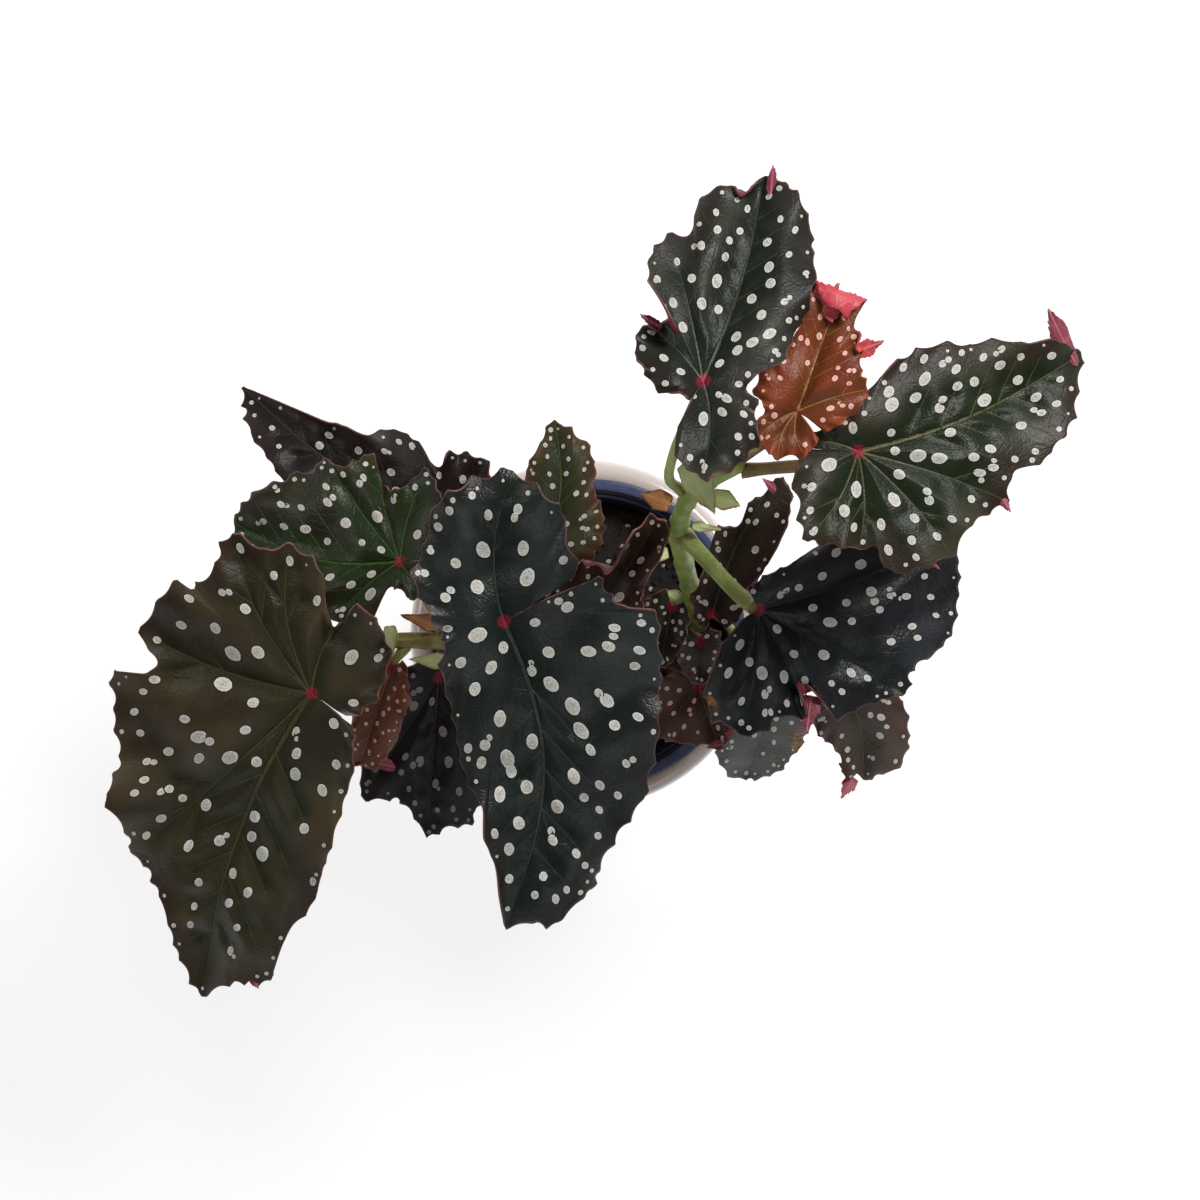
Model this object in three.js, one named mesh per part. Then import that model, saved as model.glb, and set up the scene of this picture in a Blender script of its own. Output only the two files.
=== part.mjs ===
// A potted cane begonia with spotted, angel-wing leaves, standing in a glazed ceramic pot.
// Millimetres, +Z up. The origin is the centre of the pot's flat base.
import * as THREE from 'three';

// Pots and soil
const potRadius = 75;
const potHeight = 130;
const potBaseRadius = 55;
const potWall = 8;
const potFloor = 7;
const linerShift = 2.6;
const linerLipRadius = 65.9;
const linerMouthRadius = 57;
const linerBaseRadius = 44;
const linerWall = 1.7;
const linerTop = potHeight + 2;
const soilLevel = 115;
const lapGap = 0.4;
const turnSides = 40;

// Stems and leaves
const bladeThickness = 1;
const bladeGap = 0.9;
const soilGap = 0.4;
const bladeRings = [0.36, 0.7, 1];
const petioleSides = 6;
const caneSides = 8;
const stepsPerPoint = 2;

const finishes = {
  ceramic: { color: 0xdfd4cf, roughness: 0.25, metalness: 0 },
  liner: { color: 0x18233f, roughness: 0.45, metalness: 0 },
  soil: { color: 0x17130f, roughness: 1, metalness: 0 },
  cane: { color: 0x77762e, roughness: 0.55, metalness: 0 },
  petiole: { color: 0x97a552, roughness: 0.5, metalness: 0 },
  darkLeaf: { color: 0x1b2724, roughness: 0.4, metalness: 0 },
  brownLeaf: { color: 0x2e241c, roughness: 0.4, metalness: 0 },
  greenLeaf: { color: 0x2a3a1c, roughness: 0.4, metalness: 0 },
  youngLeaf: { color: 0x8c3f1c, roughness: 0.4, metalness: 0 },
  stipule: { color: 0xaabb78, roughness: 0.6, metalness: 0 },
  dryStipule: { color: 0x96622e, roughness: 0.8, metalness: 0 },
};

const plant = new THREE.Group();

function addPiece(name, geometry, finish, parent = plant) {
  const mesh = new THREE.Mesh(geometry, new THREE.MeshStandardMaterial(finishes[finish]));
  mesh.name = name;
  parent.add(mesh);
  return mesh;
}

// A body turned around +Z from a profile of [radius, height] that starts and ends on the axis,
// listed from the underside outwards and back over the top.
function turned(profile) {
  const points = profile.map(([radius, height]) => new THREE.Vector2(radius, height));
  return new THREE.LatheGeometry(points, turnSides).rotateX(Math.PI / 2);
}

// The outer pot: a plain tapered cachepot with a thick rounded rim.
function ceramicPot() {
  const mouth = potRadius - 11.5;
  return turned([
    [0, 0], [potBaseRadius, 0], [potBaseRadius + 3, 3], [potBaseRadius + 12, potHeight * 0.4],
    [potRadius - 2, potHeight - 28], [potRadius, potHeight - 8], [potRadius - 1.5, potHeight - 2],
    [potRadius - 5, potHeight], [potRadius - 9, potHeight - 1], [mouth, potHeight - 4],
    [mouth, potHeight - 30], [mouth - 10, potHeight * 0.35], [potBaseRadius - potWall + 2, potFloor + 3],
    [potBaseRadius - potWall, potFloor], [0, potFloor],
  ]);
}

// The plastic grow pot inside it. Its flat lip rests over the ceramic rim.
function growPot() {
  const floor = potFloor + lapGap;
  const outer = linerMouthRadius + linerWall;
  return turned([
    [0, floor], [linerBaseRadius, floor], [linerBaseRadius + 1, floor + 2], [outer, soilLevel],
    [outer + 0.5, potHeight + lapGap], [linerLipRadius, potHeight + lapGap],
    [linerLipRadius, linerTop], [linerLipRadius - 4.5, linerTop], [linerLipRadius - 5, linerTop - 3],
    [outer - 0.3, linerTop - 4], [linerMouthRadius + 0.6, linerTop - 8], [linerMouthRadius, soilLevel],
    [linerBaseRadius - linerWall, floor + linerWall], [0, floor + linerWall],
  ]);
}

function soilBody() {
  const floor = potFloor + 2 * lapGap + linerWall;
  const side = linerMouthRadius - lapGap - 0.6;
  return turned([
    [0, floor], [linerBaseRadius - linerWall - 1, floor], [side, soilLevel - 3], [side - 3, soilLevel],
    [0, soilLevel],
  ]);
}

// A round stem along a smooth curve through the points, tapering from one radius to the other.
function stem(points, startRadius, endRadius, sides) {
  const path = new THREE.CatmullRomCurve3(points.map((p) => new THREE.Vector3(...p)), false, 'centripetal');
  const section = new THREE.Shape(
    Array.from({ length: sides }, (_, i) => {
      const turn = (i / sides) * Math.PI * 2;
      return new THREE.Vector2(Math.cos(turn) * startRadius, Math.sin(turn) * startRadius);
    }),
  );
  const steps = (points.length - 1) * stepsPerPoint;
  const geometry = new THREE.ExtrudeGeometry(section, {
    steps, bevelEnabled: false, extrudePath: path,
  });
  taperAlong(geometry, path, steps, endRadius / startRadius);
  return geometry;
}

// Draws each vertex towards the nearest station of the path, by a share that grows along it.
function taperAlong(geometry, path, steps, endScale) {
  const stations = path.getSpacedPoints(steps);
  const position = geometry.attributes.position;
  const vertex = new THREE.Vector3();
  for (let i = 0; i < position.count; i += 1) {
    vertex.fromBufferAttribute(position, i);
    const distances = stations.map((station) => station.distanceTo(vertex));
    const nearest = distances.indexOf(Math.min(...distances));
    const scale = 1 + (endScale - 1) * (nearest / steps);
    vertex.sub(stations[nearest]).multiplyScalar(scale).add(stations[nearest]);
    position.setXYZ(i, vertex.x, vertex.y, vertex.z);
  }
}

// Height of a blade over its own plane. The midrib is a valley, and the tip and sides hang.
function bladeHeight(x, y, { length, arch, cup, fold }) {
  const along = x / length;
  const across = (2 * y) / length;
  const valley = 0.1;
  return fold * (Math.hypot(across, valley) - valley) - arch * along ** 2 - cup * across ** 2;
}

// A blade fanned out around the point where the petiole joins it. It is drawn in plan, then raised
// onto its slope. The outline lists its lobes and bays as [degrees from the midrib, share of the
// length], anticlockwise from one edge of the slit to the other.
function blade(leaf) {
  const rings = leaf.rings ?? bladeRings;
  const columns = leaf.outline.length;
  const slope = THREE.MathUtils.degToRad(leaf.pitch);
  const half = (leaf.thickness ?? bladeThickness) / 2 / Math.cos(slope);
  const vertices = [0, 0, half, 0, 0, -half];
  for (const share of rings) {
    for (const [degrees, lengths] of leaf.outline) {
      const turn = THREE.MathUtils.degToRad(degrees);
      const x = Math.cos(turn) * lengths * leaf.length * share;
      const y = Math.sin(turn) * lengths * leaf.length * share;
      const z = x * Math.tan(slope) + bladeHeight(x, y, leaf);
      vertices.push(x, y, z + half, x, y, z - half);
    }
  }
  // side 0 is the upper skin and side 1 the lower one; ring -1 is the centre
  const at = (ring, column, side) => (ring < 0 ? side : 2 + 2 * (ring * columns + column) + side);
  const faces = [];
  const quad = (a, b, c, d) => faces.push(a, b, c, a, c, d);
  for (let column = 0; column < columns - 1; column += 1) {
    const next = column + 1;
    faces.push(at(-1, 0, 0), at(0, column, 0), at(0, next, 0));
    faces.push(at(-1, 0, 1), at(0, next, 1), at(0, column, 1));
    for (let ring = 1; ring < rings.length; ring += 1) {
      quad(at(ring - 1, column, 0), at(ring, column, 0), at(ring, next, 0), at(ring - 1, next, 0));
      quad(at(ring - 1, next, 1), at(ring, next, 1), at(ring, column, 1), at(ring - 1, column, 1));
    }
    const rim = rings.length - 1;
    quad(at(rim, column, 1), at(rim, next, 1), at(rim, next, 0), at(rim, column, 0));
  }
  for (let ring = 0; ring < rings.length; ring += 1) {
    const last = columns - 1;
    quad(at(ring - 1, 0, 1), at(ring, 0, 1), at(ring, 0, 0), at(ring - 1, 0, 0));
    quad(at(ring, last, 1), at(ring - 1, last, 1), at(ring - 1, last, 0), at(ring, last, 0));
  }
  const geometry = new THREE.BufferGeometry();
  geometry.setAttribute('position', new THREE.Float32BufferAttribute(vertices, 3));
  geometry.setIndex(faces);
  return geometry;
}

// Places a blade with its midrib pointing to the azimuth. Its pitch is already in its shape.
function place(mesh, { joint, azimuth }) {
  mesh.position.set(...joint);
  mesh.rotation.z = THREE.MathUtils.degToRad(azimuth);
}

// A leaf is a blade and the petiole that carries it, which ends square under the joint.
function addLeaf(name, leaf) {
  const mesh = addPiece(`leaf_${name}`, blade(leaf), leaf.finish);
  place(mesh, leaf);
  const slope = THREE.MathUtils.degToRad(leaf.pitch);
  const upright = new THREE.Vector3(-Math.sin(slope), 0, Math.cos(slope)).applyEuler(mesh.rotation);
  const joint = mesh.position;
  const end = joint.clone().addScaledVector(upright, -bladeThickness / 2 - bladeGap);
  const approach = joint.clone().addScaledVector(upright, -leaf.neck);
  const points = [...leaf.petiole, approach.toArray(), end.toArray()];
  const radii = leaf.radii;
  addPiece(`petiole_${name}`, stem(points, radii[0], radii[1], petioleSides), 'petiole');
}

const canes = {
  right: {
    radii: [4.2, 2.9],
    points: [
      [49, 5, soilLevel + soilGap], [49, 5, 124], [47, 11, 148], [43, 21, 176], [38, 34, 214],
      [36.5, 40, 234], [38, 50, 275], [45, 56, 300], [53, 60, 314],
    ],
  },
  left: {
    radii: [4, 3],
    points: [
      [-11, -3, soilLevel + soilGap], [-11, -3, 126], [-31, -3, 160], [-50, -2, 206], [-62, -1, 218],
      [-74, -1, 224],
    ],
  },
  middle: {
    radii: [4, 3],
    points: [[-2, 4, soilLevel + soilGap], [-2, 4, 128], [-14, 4, 190], [-25, 3, 262]],
  },
};

const leaves = {
  left_large: {
    finish: 'brownLeaf', joint: [-97, -19, 265], azimuth: -114, pitch: -25,
    length: 134, arch: 14, cup: 6, fold: 4, neck: 12, radii: [3, 2.9],
    petiole: [[-77.6, -3.6, 226], [-86, -9, 236]],
    outline: [
      [-280, 0.11], [-250, 0.18], [-223, 0.24], [-205, 0.27], [-186, 0.28], [-178, 0.19], [-170, 0.23],
      [-166, 0.32], [-150, 0.4], [-142, 0.39], [-132, 0.46], [-110, 0.4], [-107, 0.46], [-85, 0.5],
      [-75, 0.43], [-72, 0.55], [-57, 0.57], [-45, 0.6], [-40, 0.66], [-29, 0.7], [-26, 0.74],
      [-20, 0.74], [-12, 0.82], [-6, 0.92], [0, 1], [5, 0.91], [12, 0.87], [15, 0.7], [21, 0.6],
      [24, 0.5], [29, 0.41], [36, 0.32], [50, 0.24], [76, 0.14],
    ],
  },
  left_upper: {
    finish: 'greenLeaf', joint: [-68, 29, 236], azimuth: 167, pitch: -17,
    length: 69, arch: 10, cup: 6, fold: 3, neck: 10, radii: [2.6, 2.4],
    petiole: [[-53, 4, 211.5], [-58, 13, 219]],
    outline: [
      [-165, 0.22], [-140, 0.33], [-118, 0.39], [-106, 0.43], [-93, 0.52], [-67, 0.39], [-64, 0.62],
      [-52, 0.6], [-43, 0.62], [-40, 0.72], [-30, 0.71], [-27, 0.79], [-21, 0.81], [-18, 0.87],
      [-5, 0.97], [0, 1], [7, 0.95], [15, 0.93], [28, 0.72], [40, 0.5], [52, 0.5], [78, 0.36],
      [88, 0.13], [118, 0.2], [150, 0.22], [190, 0.2],
    ],
  },
  back_left: {
    finish: 'brownLeaf', joint: [-50, 46, 200], azimuth: 148, pitch: -6,
    length: 103, arch: 12, cup: 5, fold: 3, neck: 10, radii: [2.6, 2.4],
    petiole: [[-24, 12, soilLevel + soilGap], [-24, 14, 132], [-40, 36, 175]],
    outline: [
      [-186, 0.17], [-160, 0.17], [-130, 0.18], [-97, 0.2], [-89, 0.26], [-55, 0.25], [-40, 0.21],
      [-34, 0.3], [-29, 0.36], [-24, 0.42], [-11, 0.47], [-8, 0.55], [-5, 0.62], [-3, 0.73],
      [-1, 0.9], [0, 1], [4, 0.93], [9, 0.86], [12, 0.79], [17, 0.71], [32, 0.57], [52, 0.43],
      [82, 0.31], [98, 0.23], [128, 0.22], [156, 0.16],
    ],
  },
  centre: {
    finish: 'darkLeaf', joint: [-26, 7, 300], azimuth: -91, pitch: -20,
    length: 113, arch: 12, cup: 7, fold: 3, neck: 12, radii: [3, 2.9],
    petiole: [[-25.3, 3, 263.6], [-26, 5, 274]],
    outline: [
      [-237, 0.25], [-230, 0.28], [-215, 0.31], [-210, 0.36], [-194, 0.4], [-183, 0.44],
      [-168, 0.42], [-147, 0.4], [-134, 0.33], [-117, 0.31], [-104, 0.24], [-73, 0.19], [-53, 0.22],
      [-42, 0.27], [-28, 0.33], [-16, 0.47], [-8, 0.57], [-6, 0.6], [-5, 0.69], [-2, 0.79], [-1, 0.9],
      [0, 1], [5, 0.98], [10, 0.99], [18, 0.9], [22, 0.82], [30, 0.74], [38, 0.7], [54, 0.59],
      [72, 0.5], [95, 0.46], [100, 0.34], [116, 0.31], [120, 0.15],
    ],
  },
  back_olive: {
    finish: 'greenLeaf', joint: [-12, 38, 212], azimuth: 89, pitch: -18,
    length: 48, arch: 6, cup: 4, fold: 3, neck: 9, radii: [2, 1.8],
    petiole: [[-6, 24, soilLevel + soilGap], [-6, 25, 135], [-9, 30, 180]],
    outline: [
      [-168, 0.25], [-140, 0.29], [-110, 0.36], [-80, 0.42], [-59, 0.47], [-40, 0.52], [-31, 0.67],
      [-22, 0.79], [-18, 0.85], [-11, 0.88], [-9, 0.95], [-3, 0.94], [0, 1], [4, 0.93], [6, 0.84],
      [10, 0.76], [18, 0.65], [27, 0.52], [46, 0.43], [75, 0.38], [110, 0.33], [168, 0.25],
    ],
  },
  inner_brown: {
    finish: 'brownLeaf', joint: [-2, -3, 228], azimuth: 57, pitch: 19,
    length: 56, arch: 4, cup: 4, fold: 3, neck: 9, radii: [2.2, 1.9],
    petiole: [[0, -14, soilLevel + soilGap], [0, -14, 140], [1, -12, 190]],
    outline: [
      [-133, 0.19], [-90, 0.22], [-58, 0.3], [-36, 0.42], [-28, 0.51], [-20, 0.53], [-13, 0.68],
      [-11, 0.81], [-8, 0.9], [-6, 0.99], [0, 1], [3, 0.99], [5, 0.9], [9, 0.79], [12, 0.66],
      [17, 0.59], [27, 0.58], [45, 0.48], [70, 0.36], [110, 0.24], [168, 0.17],
    ],
  },
  top: {
    finish: 'darkLeaf', joint: [39, 83, 362], azimuth: 73, pitch: -15,
    length: 73, arch: 10, cup: 7, fold: 4, neck: 9, radii: [1.8, 1.6],
    petiole: [[34.6, 53.8, 283], [31, 56, 292], [31, 62, 312], [35, 73, 338]],
    outline: [
      [-192, 0.23], [-184, 0.35], [-165, 0.42], [-145, 0.4], [-122, 0.35], [-98, 0.23], [-81, 0.19],
      [-66, 0.24], [-60, 0.35], [-48, 0.42], [-38, 0.56], [-28, 0.7], [-23, 0.77], [-17, 0.87],
      [-10, 0.95], [-3, 1], [0, 1], [3, 0.92], [5, 0.93], [13, 0.88], [17, 0.84], [19, 0.76],
      [21, 0.67], [29, 0.67], [39, 0.59], [49, 0.44], [52, 0.31], [60, 0.37], [84, 0.32], [122, 0.2],
      [142, 0.11], [164, 0.11],
    ],
  },
  young_orange: {
    finish: 'youngLeaf', joint: [70, 75, 346], azimuth: 70, pitch: 4,
    length: 39, arch: 5, cup: 5, fold: 5, neck: 6, radii: [1.5, 1.3],
    petiole: [[56.8, 63.4, 316], [62, 66.5, 320], [68, 71, 333]],
    outline: [
      [-109, 0.29], [-97, 0.31], [-71, 0.48], [-53, 0.59], [-40, 0.58], [-30, 0.66], [-26, 0.8],
      [-14, 0.84], [-11, 1], [0, 1], [13, 0.96], [17, 0.76], [20, 0.66], [35, 0.52], [43, 0.45],
      [65, 0.43], [89, 0.37], [108, 0.27], [126, 0.36], [146, 0.43], [177, 0.43], [197, 0.35],
      [208, 0.37], [238, 0.29],
    ],
  },
  right_upper: {
    finish: 'darkLeaf', joint: [91, 63, 333], azimuth: 24, pitch: -10,
    length: 87, arch: 12, cup: 9, fold: 4, neck: 8, radii: [2.2, 2.1],
    petiole: [[57.6, 58.4, 312.4], [66, 59, 314], [80, 60, 320]],
    outline: [
      [-206, 0.19], [-183, 0.26], [-165, 0.29], [-156, 0.34], [-145, 0.38], [-130, 0.36],
      [-113, 0.37], [-104, 0.36], [-101, 0.42], [-96, 0.48], [-81, 0.5], [-71, 0.53], [-59, 0.51],
      [-48, 0.55], [-41, 0.62], [-37, 0.6], [-30, 0.62], [-27, 0.72], [-21, 0.78], [-14, 0.87],
      [-5, 0.94], [0, 1], [6, 0.89], [8, 0.8], [16, 0.69], [19, 0.61], [28, 0.52], [35, 0.44],
      [44, 0.35], [57, 0.23], [68, 0.15], [105, 0.15], [145, 0.19], [152, 0.18],
    ],
  },
  right_lower: {
    finish: 'darkLeaf', joint: [64, 11, 265], azimuth: -29, pitch: -10,
    length: 63, arch: 8, cup: 6, fold: 3, neck: 6, radii: [3, 2.9],
    petiole: [[39.8, 36.7, 236.4], [46, 29.5, 242], [57, 17, 252]],
    outline: [
      [-122, 0.12], [-108, 0.3], [-99, 0.43], [-94, 0.57], [-84, 0.68], [-77, 0.68], [-69, 0.73],
      [-56, 0.7], [-51, 0.63], [-36, 0.69], [-28, 0.62], [-25, 0.79], [-10, 0.86], [0, 1], [8, 0.96],
      [15, 1.08], [22, 1.17], [34, 1.22], [49, 1.27], [60, 1], [70, 0.72], [76, 0.5], [81, 0.38],
      [87, 0.28], [104, 0.2], [148, 0.14],
    ],
  },
  front_taupe: {
    finish: 'brownLeaf', joint: [103, -22, 204], azimuth: -77, pitch: -41,
    length: 45, arch: 5, cup: 4, fold: 4, neck: 7, radii: [1.8, 1.6],
    petiole: [[48, -12, soilLevel + soilGap], [48, -12, 128], [60, -14, 156], [85, -18, 186]],
    outline: [
      [-168, 0.17], [-100, 0.22], [-60, 0.37], [-45, 0.44], [-25, 0.47], [-13, 0.57], [-11, 0.72],
      [-3, 0.9], [0, 1], [6, 0.86], [20, 0.87], [28, 0.86], [38, 0.77], [55, 0.62], [73, 0.48],
      [100, 0.3], [151, 0.17],
    ],
  },
  front_grey: {
    finish: 'darkLeaf', joint: [71, -25, 232], azimuth: -98, pitch: -60,
    length: 34, arch: 3, cup: 4, fold: 3, neck: 6, radii: [1.8, 1.6],
    petiole: [[53, 10, 145], [59, 5, 158], [65, -8, 190]],
    outline: [
      [-144, 0.24], [-60, 0.3], [-40, 0.5], [-34, 0.82], [-20, 0.92], [-9, 1], [8, 0.95], [24, 0.86],
      [35, 0.72], [47, 0.66], [78, 0.45], [120, 0.3], [158, 0.24],
    ],
  },
  hooked_brown: {
    finish: 'brownLeaf', joint: [50, 9, 216], azimuth: 66, pitch: 14,
    length: 56, arch: 4, cup: 4, fold: 3, neck: 7, radii: [1.8, 1.6],
    petiole: [[48.6, 17.8, 173], [51.4, 15.5, 184], [52, 11, 200]],
    outline: [
      [-114, 0.13], [-60, 0.2], [-27, 0.4], [-22, 0.52], [-15, 0.78], [-9, 0.95], [-6, 1], [0, 1],
      [2, 0.86], [7, 0.79], [9, 0.62], [22, 0.6], [27, 0.45], [42, 0.26], [76, 0.18], [129, 0.13],
      [180, 0.11],
    ],
  },
  low_inner: {
    finish: 'brownLeaf', joint: [47, -21, 161], azimuth: -70, pitch: -20,
    length: 29, arch: 3, cup: 3, fold: 3, neck: 6, radii: [1.6, 1.4],
    petiole: [[37, -16, soilLevel + soilGap], [37, -16, 128], [41, -17, 142]],
    outline: [
      [-197, 0.2], [-140, 0.4], [-118, 0.6], [-80, 0.8], [-62, 0.92], [-43, 0.87], [-25, 0.85],
      [-9, 0.85], [8, 0.98], [16, 0.98], [24, 0.6], [40, 0.35], [97, 0.15],
    ],
  },
  low_speckled: {
    finish: 'greenLeaf', joint: [35, 12, 198], azimuth: -100, pitch: -19,
    length: 25, arch: 3, cup: 3, fold: 2, neck: 6, radii: [1.6, 1.4],
    petiole: [[28, 8, soilLevel + soilGap], [28, 8, 132], [32, 13, 170]],
    outline: [
      [-150, 0.3], [-90, 0.45], [-55, 0.6], [-30, 0.75], [-12, 0.95], [0, 1], [10, 0.9], [30, 0.58],
      [65, 0.35], [120, 0.2],
    ],
  },
  low_grey: {
    finish: 'brownLeaf', joint: [47, -2, 180], azimuth: -85, pitch: -29,
    length: 18, arch: 3, cup: 3, fold: 2, neck: 6, radii: [1.5, 1.3],
    petiole: [[34, -6, soilLevel + soilGap], [34, -6, 130], [39, -4, 160]],
    outline: [
      [-150, 0.35], [-95, 0.5], [-54, 0.65], [-30, 0.8], [-8, 1], [3, 0.98], [20, 0.8], [52, 0.55],
      [105, 0.45], [140, 0.35],
    ],
  },
  young_rust: {
    finish: 'youngLeaf', joint: [-72, -11, 230], azimuth: -111, pitch: -32,
    length: 46, arch: 4, cup: 4, fold: 3, neck: 6, radii: [1.8, 1.6],
    petiole: [[-69, -5.5, 220.8], [-70.4, -7.2, 222]],
    outline: [
      [-165, 0.1], [-90, 0.13], [-45, 0.25], [-28, 0.45], [-14, 0.65], [-5, 0.9], [0, 1], [5, 1],
      [15, 0.75], [22, 0.63], [30, 0.45], [46, 0.33], [70, 0.2], [137, 0.12],
    ],
  },
  left_low: {
    finish: 'darkLeaf', joint: [-57, -16, 192], azimuth: -96, pitch: -22,
    length: 67, arch: 5, cup: 5, fold: 3, neck: 7, radii: [2, 1.8],
    petiole: [[-28, -18, soilLevel + soilGap], [-28, -18, 132], [-48, -14, 172]],
    outline: [
      [-195, 0.1], [-123, 0.14], [-78, 0.22], [-54, 0.4], [-38, 0.7], [-28, 0.88], [-20, 0.83],
      [-12, 0.79], [0, 1], [6, 0.93], [17, 0.92], [20, 0.83], [28, 0.83], [34, 0.55], [43, 0.35],
      [69, 0.2], [120, 0.13],
    ],
  },
};

// Stipules are the papery scales at the nodes: a pointed blade with one ring and no petiole.
const lanceOutline = (slimness) => [
  [-178, 0.08], [-100, slimness * 0.3], [-40, slimness * 0.62], [0, 1], [40, slimness * 0.62],
  [100, slimness * 0.3], [178, 0.08],
];
const stipules = {
  upper_broad: { joint: [37, 60, 310], azimuth: -61, pitch: -14, length: 19, width: 14 },
  upper_small: { joint: [46.5, 50.5, 289], azimuth: -20, pitch: 10, length: 10, width: 9 },
  crown: { joint: [54, 64, 324], azimuth: 35, pitch: 25, length: 10, width: 8 },
  dry_wide: { joint: [32, 50, 248], azimuth: 160, pitch: 5, length: 11, width: 10, finish: 'dryStipule' },
  pale_hook: { joint: [41.8, 42, 243], azimuth: -8, pitch: 12, length: 10, width: 5 },
  dry_left: { joint: [-55, 5, 221], azimuth: 165, pitch: 12, length: 15, width: 8, finish: 'dryStipule' },
  pale_left: { joint: [-52, -9, 218], azimuth: 176, pitch: 22, length: 14, width: 8 },
  left_tip: { joint: [-72, 4, 233], azimuth: -85, pitch: 8, length: 11, width: 7 },
  low_red: { joint: [54, 12, 156], azimuth: 10, pitch: 30, length: 9, width: 6 },
  low_olive: { joint: [40, 14, 157], azimuth: 150, pitch: 20, length: 9, width: 8 },
  mid_gold: { joint: [33, 33, 196], azimuth: 190, pitch: 20, length: 9, width: 7 },
};

addPiece('ceramic_pot', ceramicPot(), 'ceramic');
const inside = new THREE.Group();
inside.position.x = linerShift;
plant.add(inside);
addPiece('grow_pot', growPot(), 'liner', inside);
addPiece('soil', soilBody(), 'soil', inside);

for (const [name, { points, radii }] of Object.entries(canes)) {
  addPiece(`cane_${name}`, stem(points, radii[0], radii[1], caneSides), 'cane');
}
for (const [name, leaf] of Object.entries(leaves)) addLeaf(name, leaf);
for (const [name, scale] of Object.entries(stipules)) {
  const shape = {
    outline: lanceOutline(scale.width / scale.length), pitch: scale.pitch,
    length: scale.length, arch: 1.5, cup: 1, fold: 0.6, thickness: 0.8, rings: [0.5, 1],
  };
  place(addPiece(`stipule_${name}`, blade(shape), scale.finish ?? 'stipule'), scale);
}

export default plant;
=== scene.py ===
import math
import bmesh
import bpy
import numpy as np
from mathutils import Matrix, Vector, noise


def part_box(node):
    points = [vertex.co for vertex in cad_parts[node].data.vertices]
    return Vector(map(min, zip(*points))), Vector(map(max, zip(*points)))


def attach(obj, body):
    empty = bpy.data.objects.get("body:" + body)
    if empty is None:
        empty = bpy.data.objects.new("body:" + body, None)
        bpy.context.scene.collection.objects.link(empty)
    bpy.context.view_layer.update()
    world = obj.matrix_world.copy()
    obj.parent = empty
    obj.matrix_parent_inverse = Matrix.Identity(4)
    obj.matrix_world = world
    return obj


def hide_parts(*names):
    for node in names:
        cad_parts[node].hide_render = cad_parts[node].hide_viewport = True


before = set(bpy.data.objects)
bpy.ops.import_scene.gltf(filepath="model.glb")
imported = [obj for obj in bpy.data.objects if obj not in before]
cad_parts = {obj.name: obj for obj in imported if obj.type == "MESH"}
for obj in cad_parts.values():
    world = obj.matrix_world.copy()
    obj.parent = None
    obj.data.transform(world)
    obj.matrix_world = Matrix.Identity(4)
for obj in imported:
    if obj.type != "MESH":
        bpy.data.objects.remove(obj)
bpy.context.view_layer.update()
mm = 0.001
print("frame loaded")

# The camera looks straight down on the plant
view = {"x": 0.0068, "y": 0.0145, "height": 1.0, "lens": 61.3, "sensor": 36.0}

cameraData = bpy.data.cameras.new("camera")
cameraData.lens = view["lens"]
cameraData.sensor_width = view["sensor"]
camera = bpy.data.objects.new("camera", cameraData)
camera.location = (view["x"], view["y"], view["height"])
bpy.context.scene.collection.objects.link(camera)
bpy.context.scene.camera = camera

# Soft lights stand round the plant, high enough to reach into the pot
lights = {
    "key": {"place": (0.7, 0.75, 1.35), "size": 0.5, "power": 21},
    "window": {"place": (-1.1, 0.3, 1.2), "size": 0.8, "power": 5},
    "front": {"place": (0.2, -1.3, 1.2), "size": 1.1, "power": 3.5},
}
studio = {"aim": (0, 0, 0.22), "skyStrength": 0.17, "floorSize": 8.0, "floorGlow": 0.72}


def addLight(name, place, size, power):
    data = bpy.data.lights.new(name, "AREA")
    data.shape = "DISK"
    data.size = size
    data.energy = power
    lamp = bpy.data.objects.new(name, data)
    lamp.location = place
    aim = Vector(studio["aim"]) - Vector(place)
    lamp.rotation_euler = aim.to_track_quat("-Z", "Y").to_euler()
    bpy.context.scene.collection.objects.link(lamp)


for lightName, setting in lights.items():
    addLight(lightName, **setting)

world = bpy.data.worlds.new("studio")
bpy.context.scene.world = world
world.use_nodes = True
sky = world.node_tree.nodes["Background"]
sky.inputs["Color"].default_value = (1, 1, 1, 1)
sky.inputs["Strength"].default_value = studio["skyStrength"]
bpy.context.scene.view_settings.view_transform = "Standard"


# Colours are given as red, green and blue from 0 to 255, as a paint chart has them
def paint(red, green, blue):
    def linear(value):
        value = value / 255
        return value / 12.92 if value <= 0.04045 else ((value + 0.055) / 1.055) ** 2.4
    return (linear(red), linear(green), linear(blue), 1)


# One node, with each input either a plain value or a link from another node's socket
def addNode(tree, kind, inputs=None, **settings):
    node = tree.nodes.new(kind)
    for key, value in settings.items():
        setattr(node, key, value)
    for key, value in (inputs or {}).items():
        if isinstance(value, bpy.types.NodeSocket):
            tree.links.new(value, node.inputs[key])
        else:
            node.inputs[key].default_value = value
    return node


def calc(tree, operation, first, second=0.0, third=0.0, clamp=False):
    node = addNode(tree, "ShaderNodeMath", {0: first, 1: second, 2: third}, operation=operation)
    node.use_clamp = clamp
    return node.outputs[0]


# Goes smoothly from 0 to 1 as the value goes from low to high
def fade(tree, value, low, high):
    node = addNode(tree, "ShaderNodeMapRange", {"Value": value}, interpolation_type="SMOOTHSTEP")
    node.inputs["From Min"].default_value = min(low, high)
    node.inputs["From Max"].default_value = max(low, high)
    node.inputs["To Min"].default_value = 0 if low < high else 1
    node.inputs["To Max"].default_value = 1 if low < high else 0
    return node.outputs["Result"]


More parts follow.
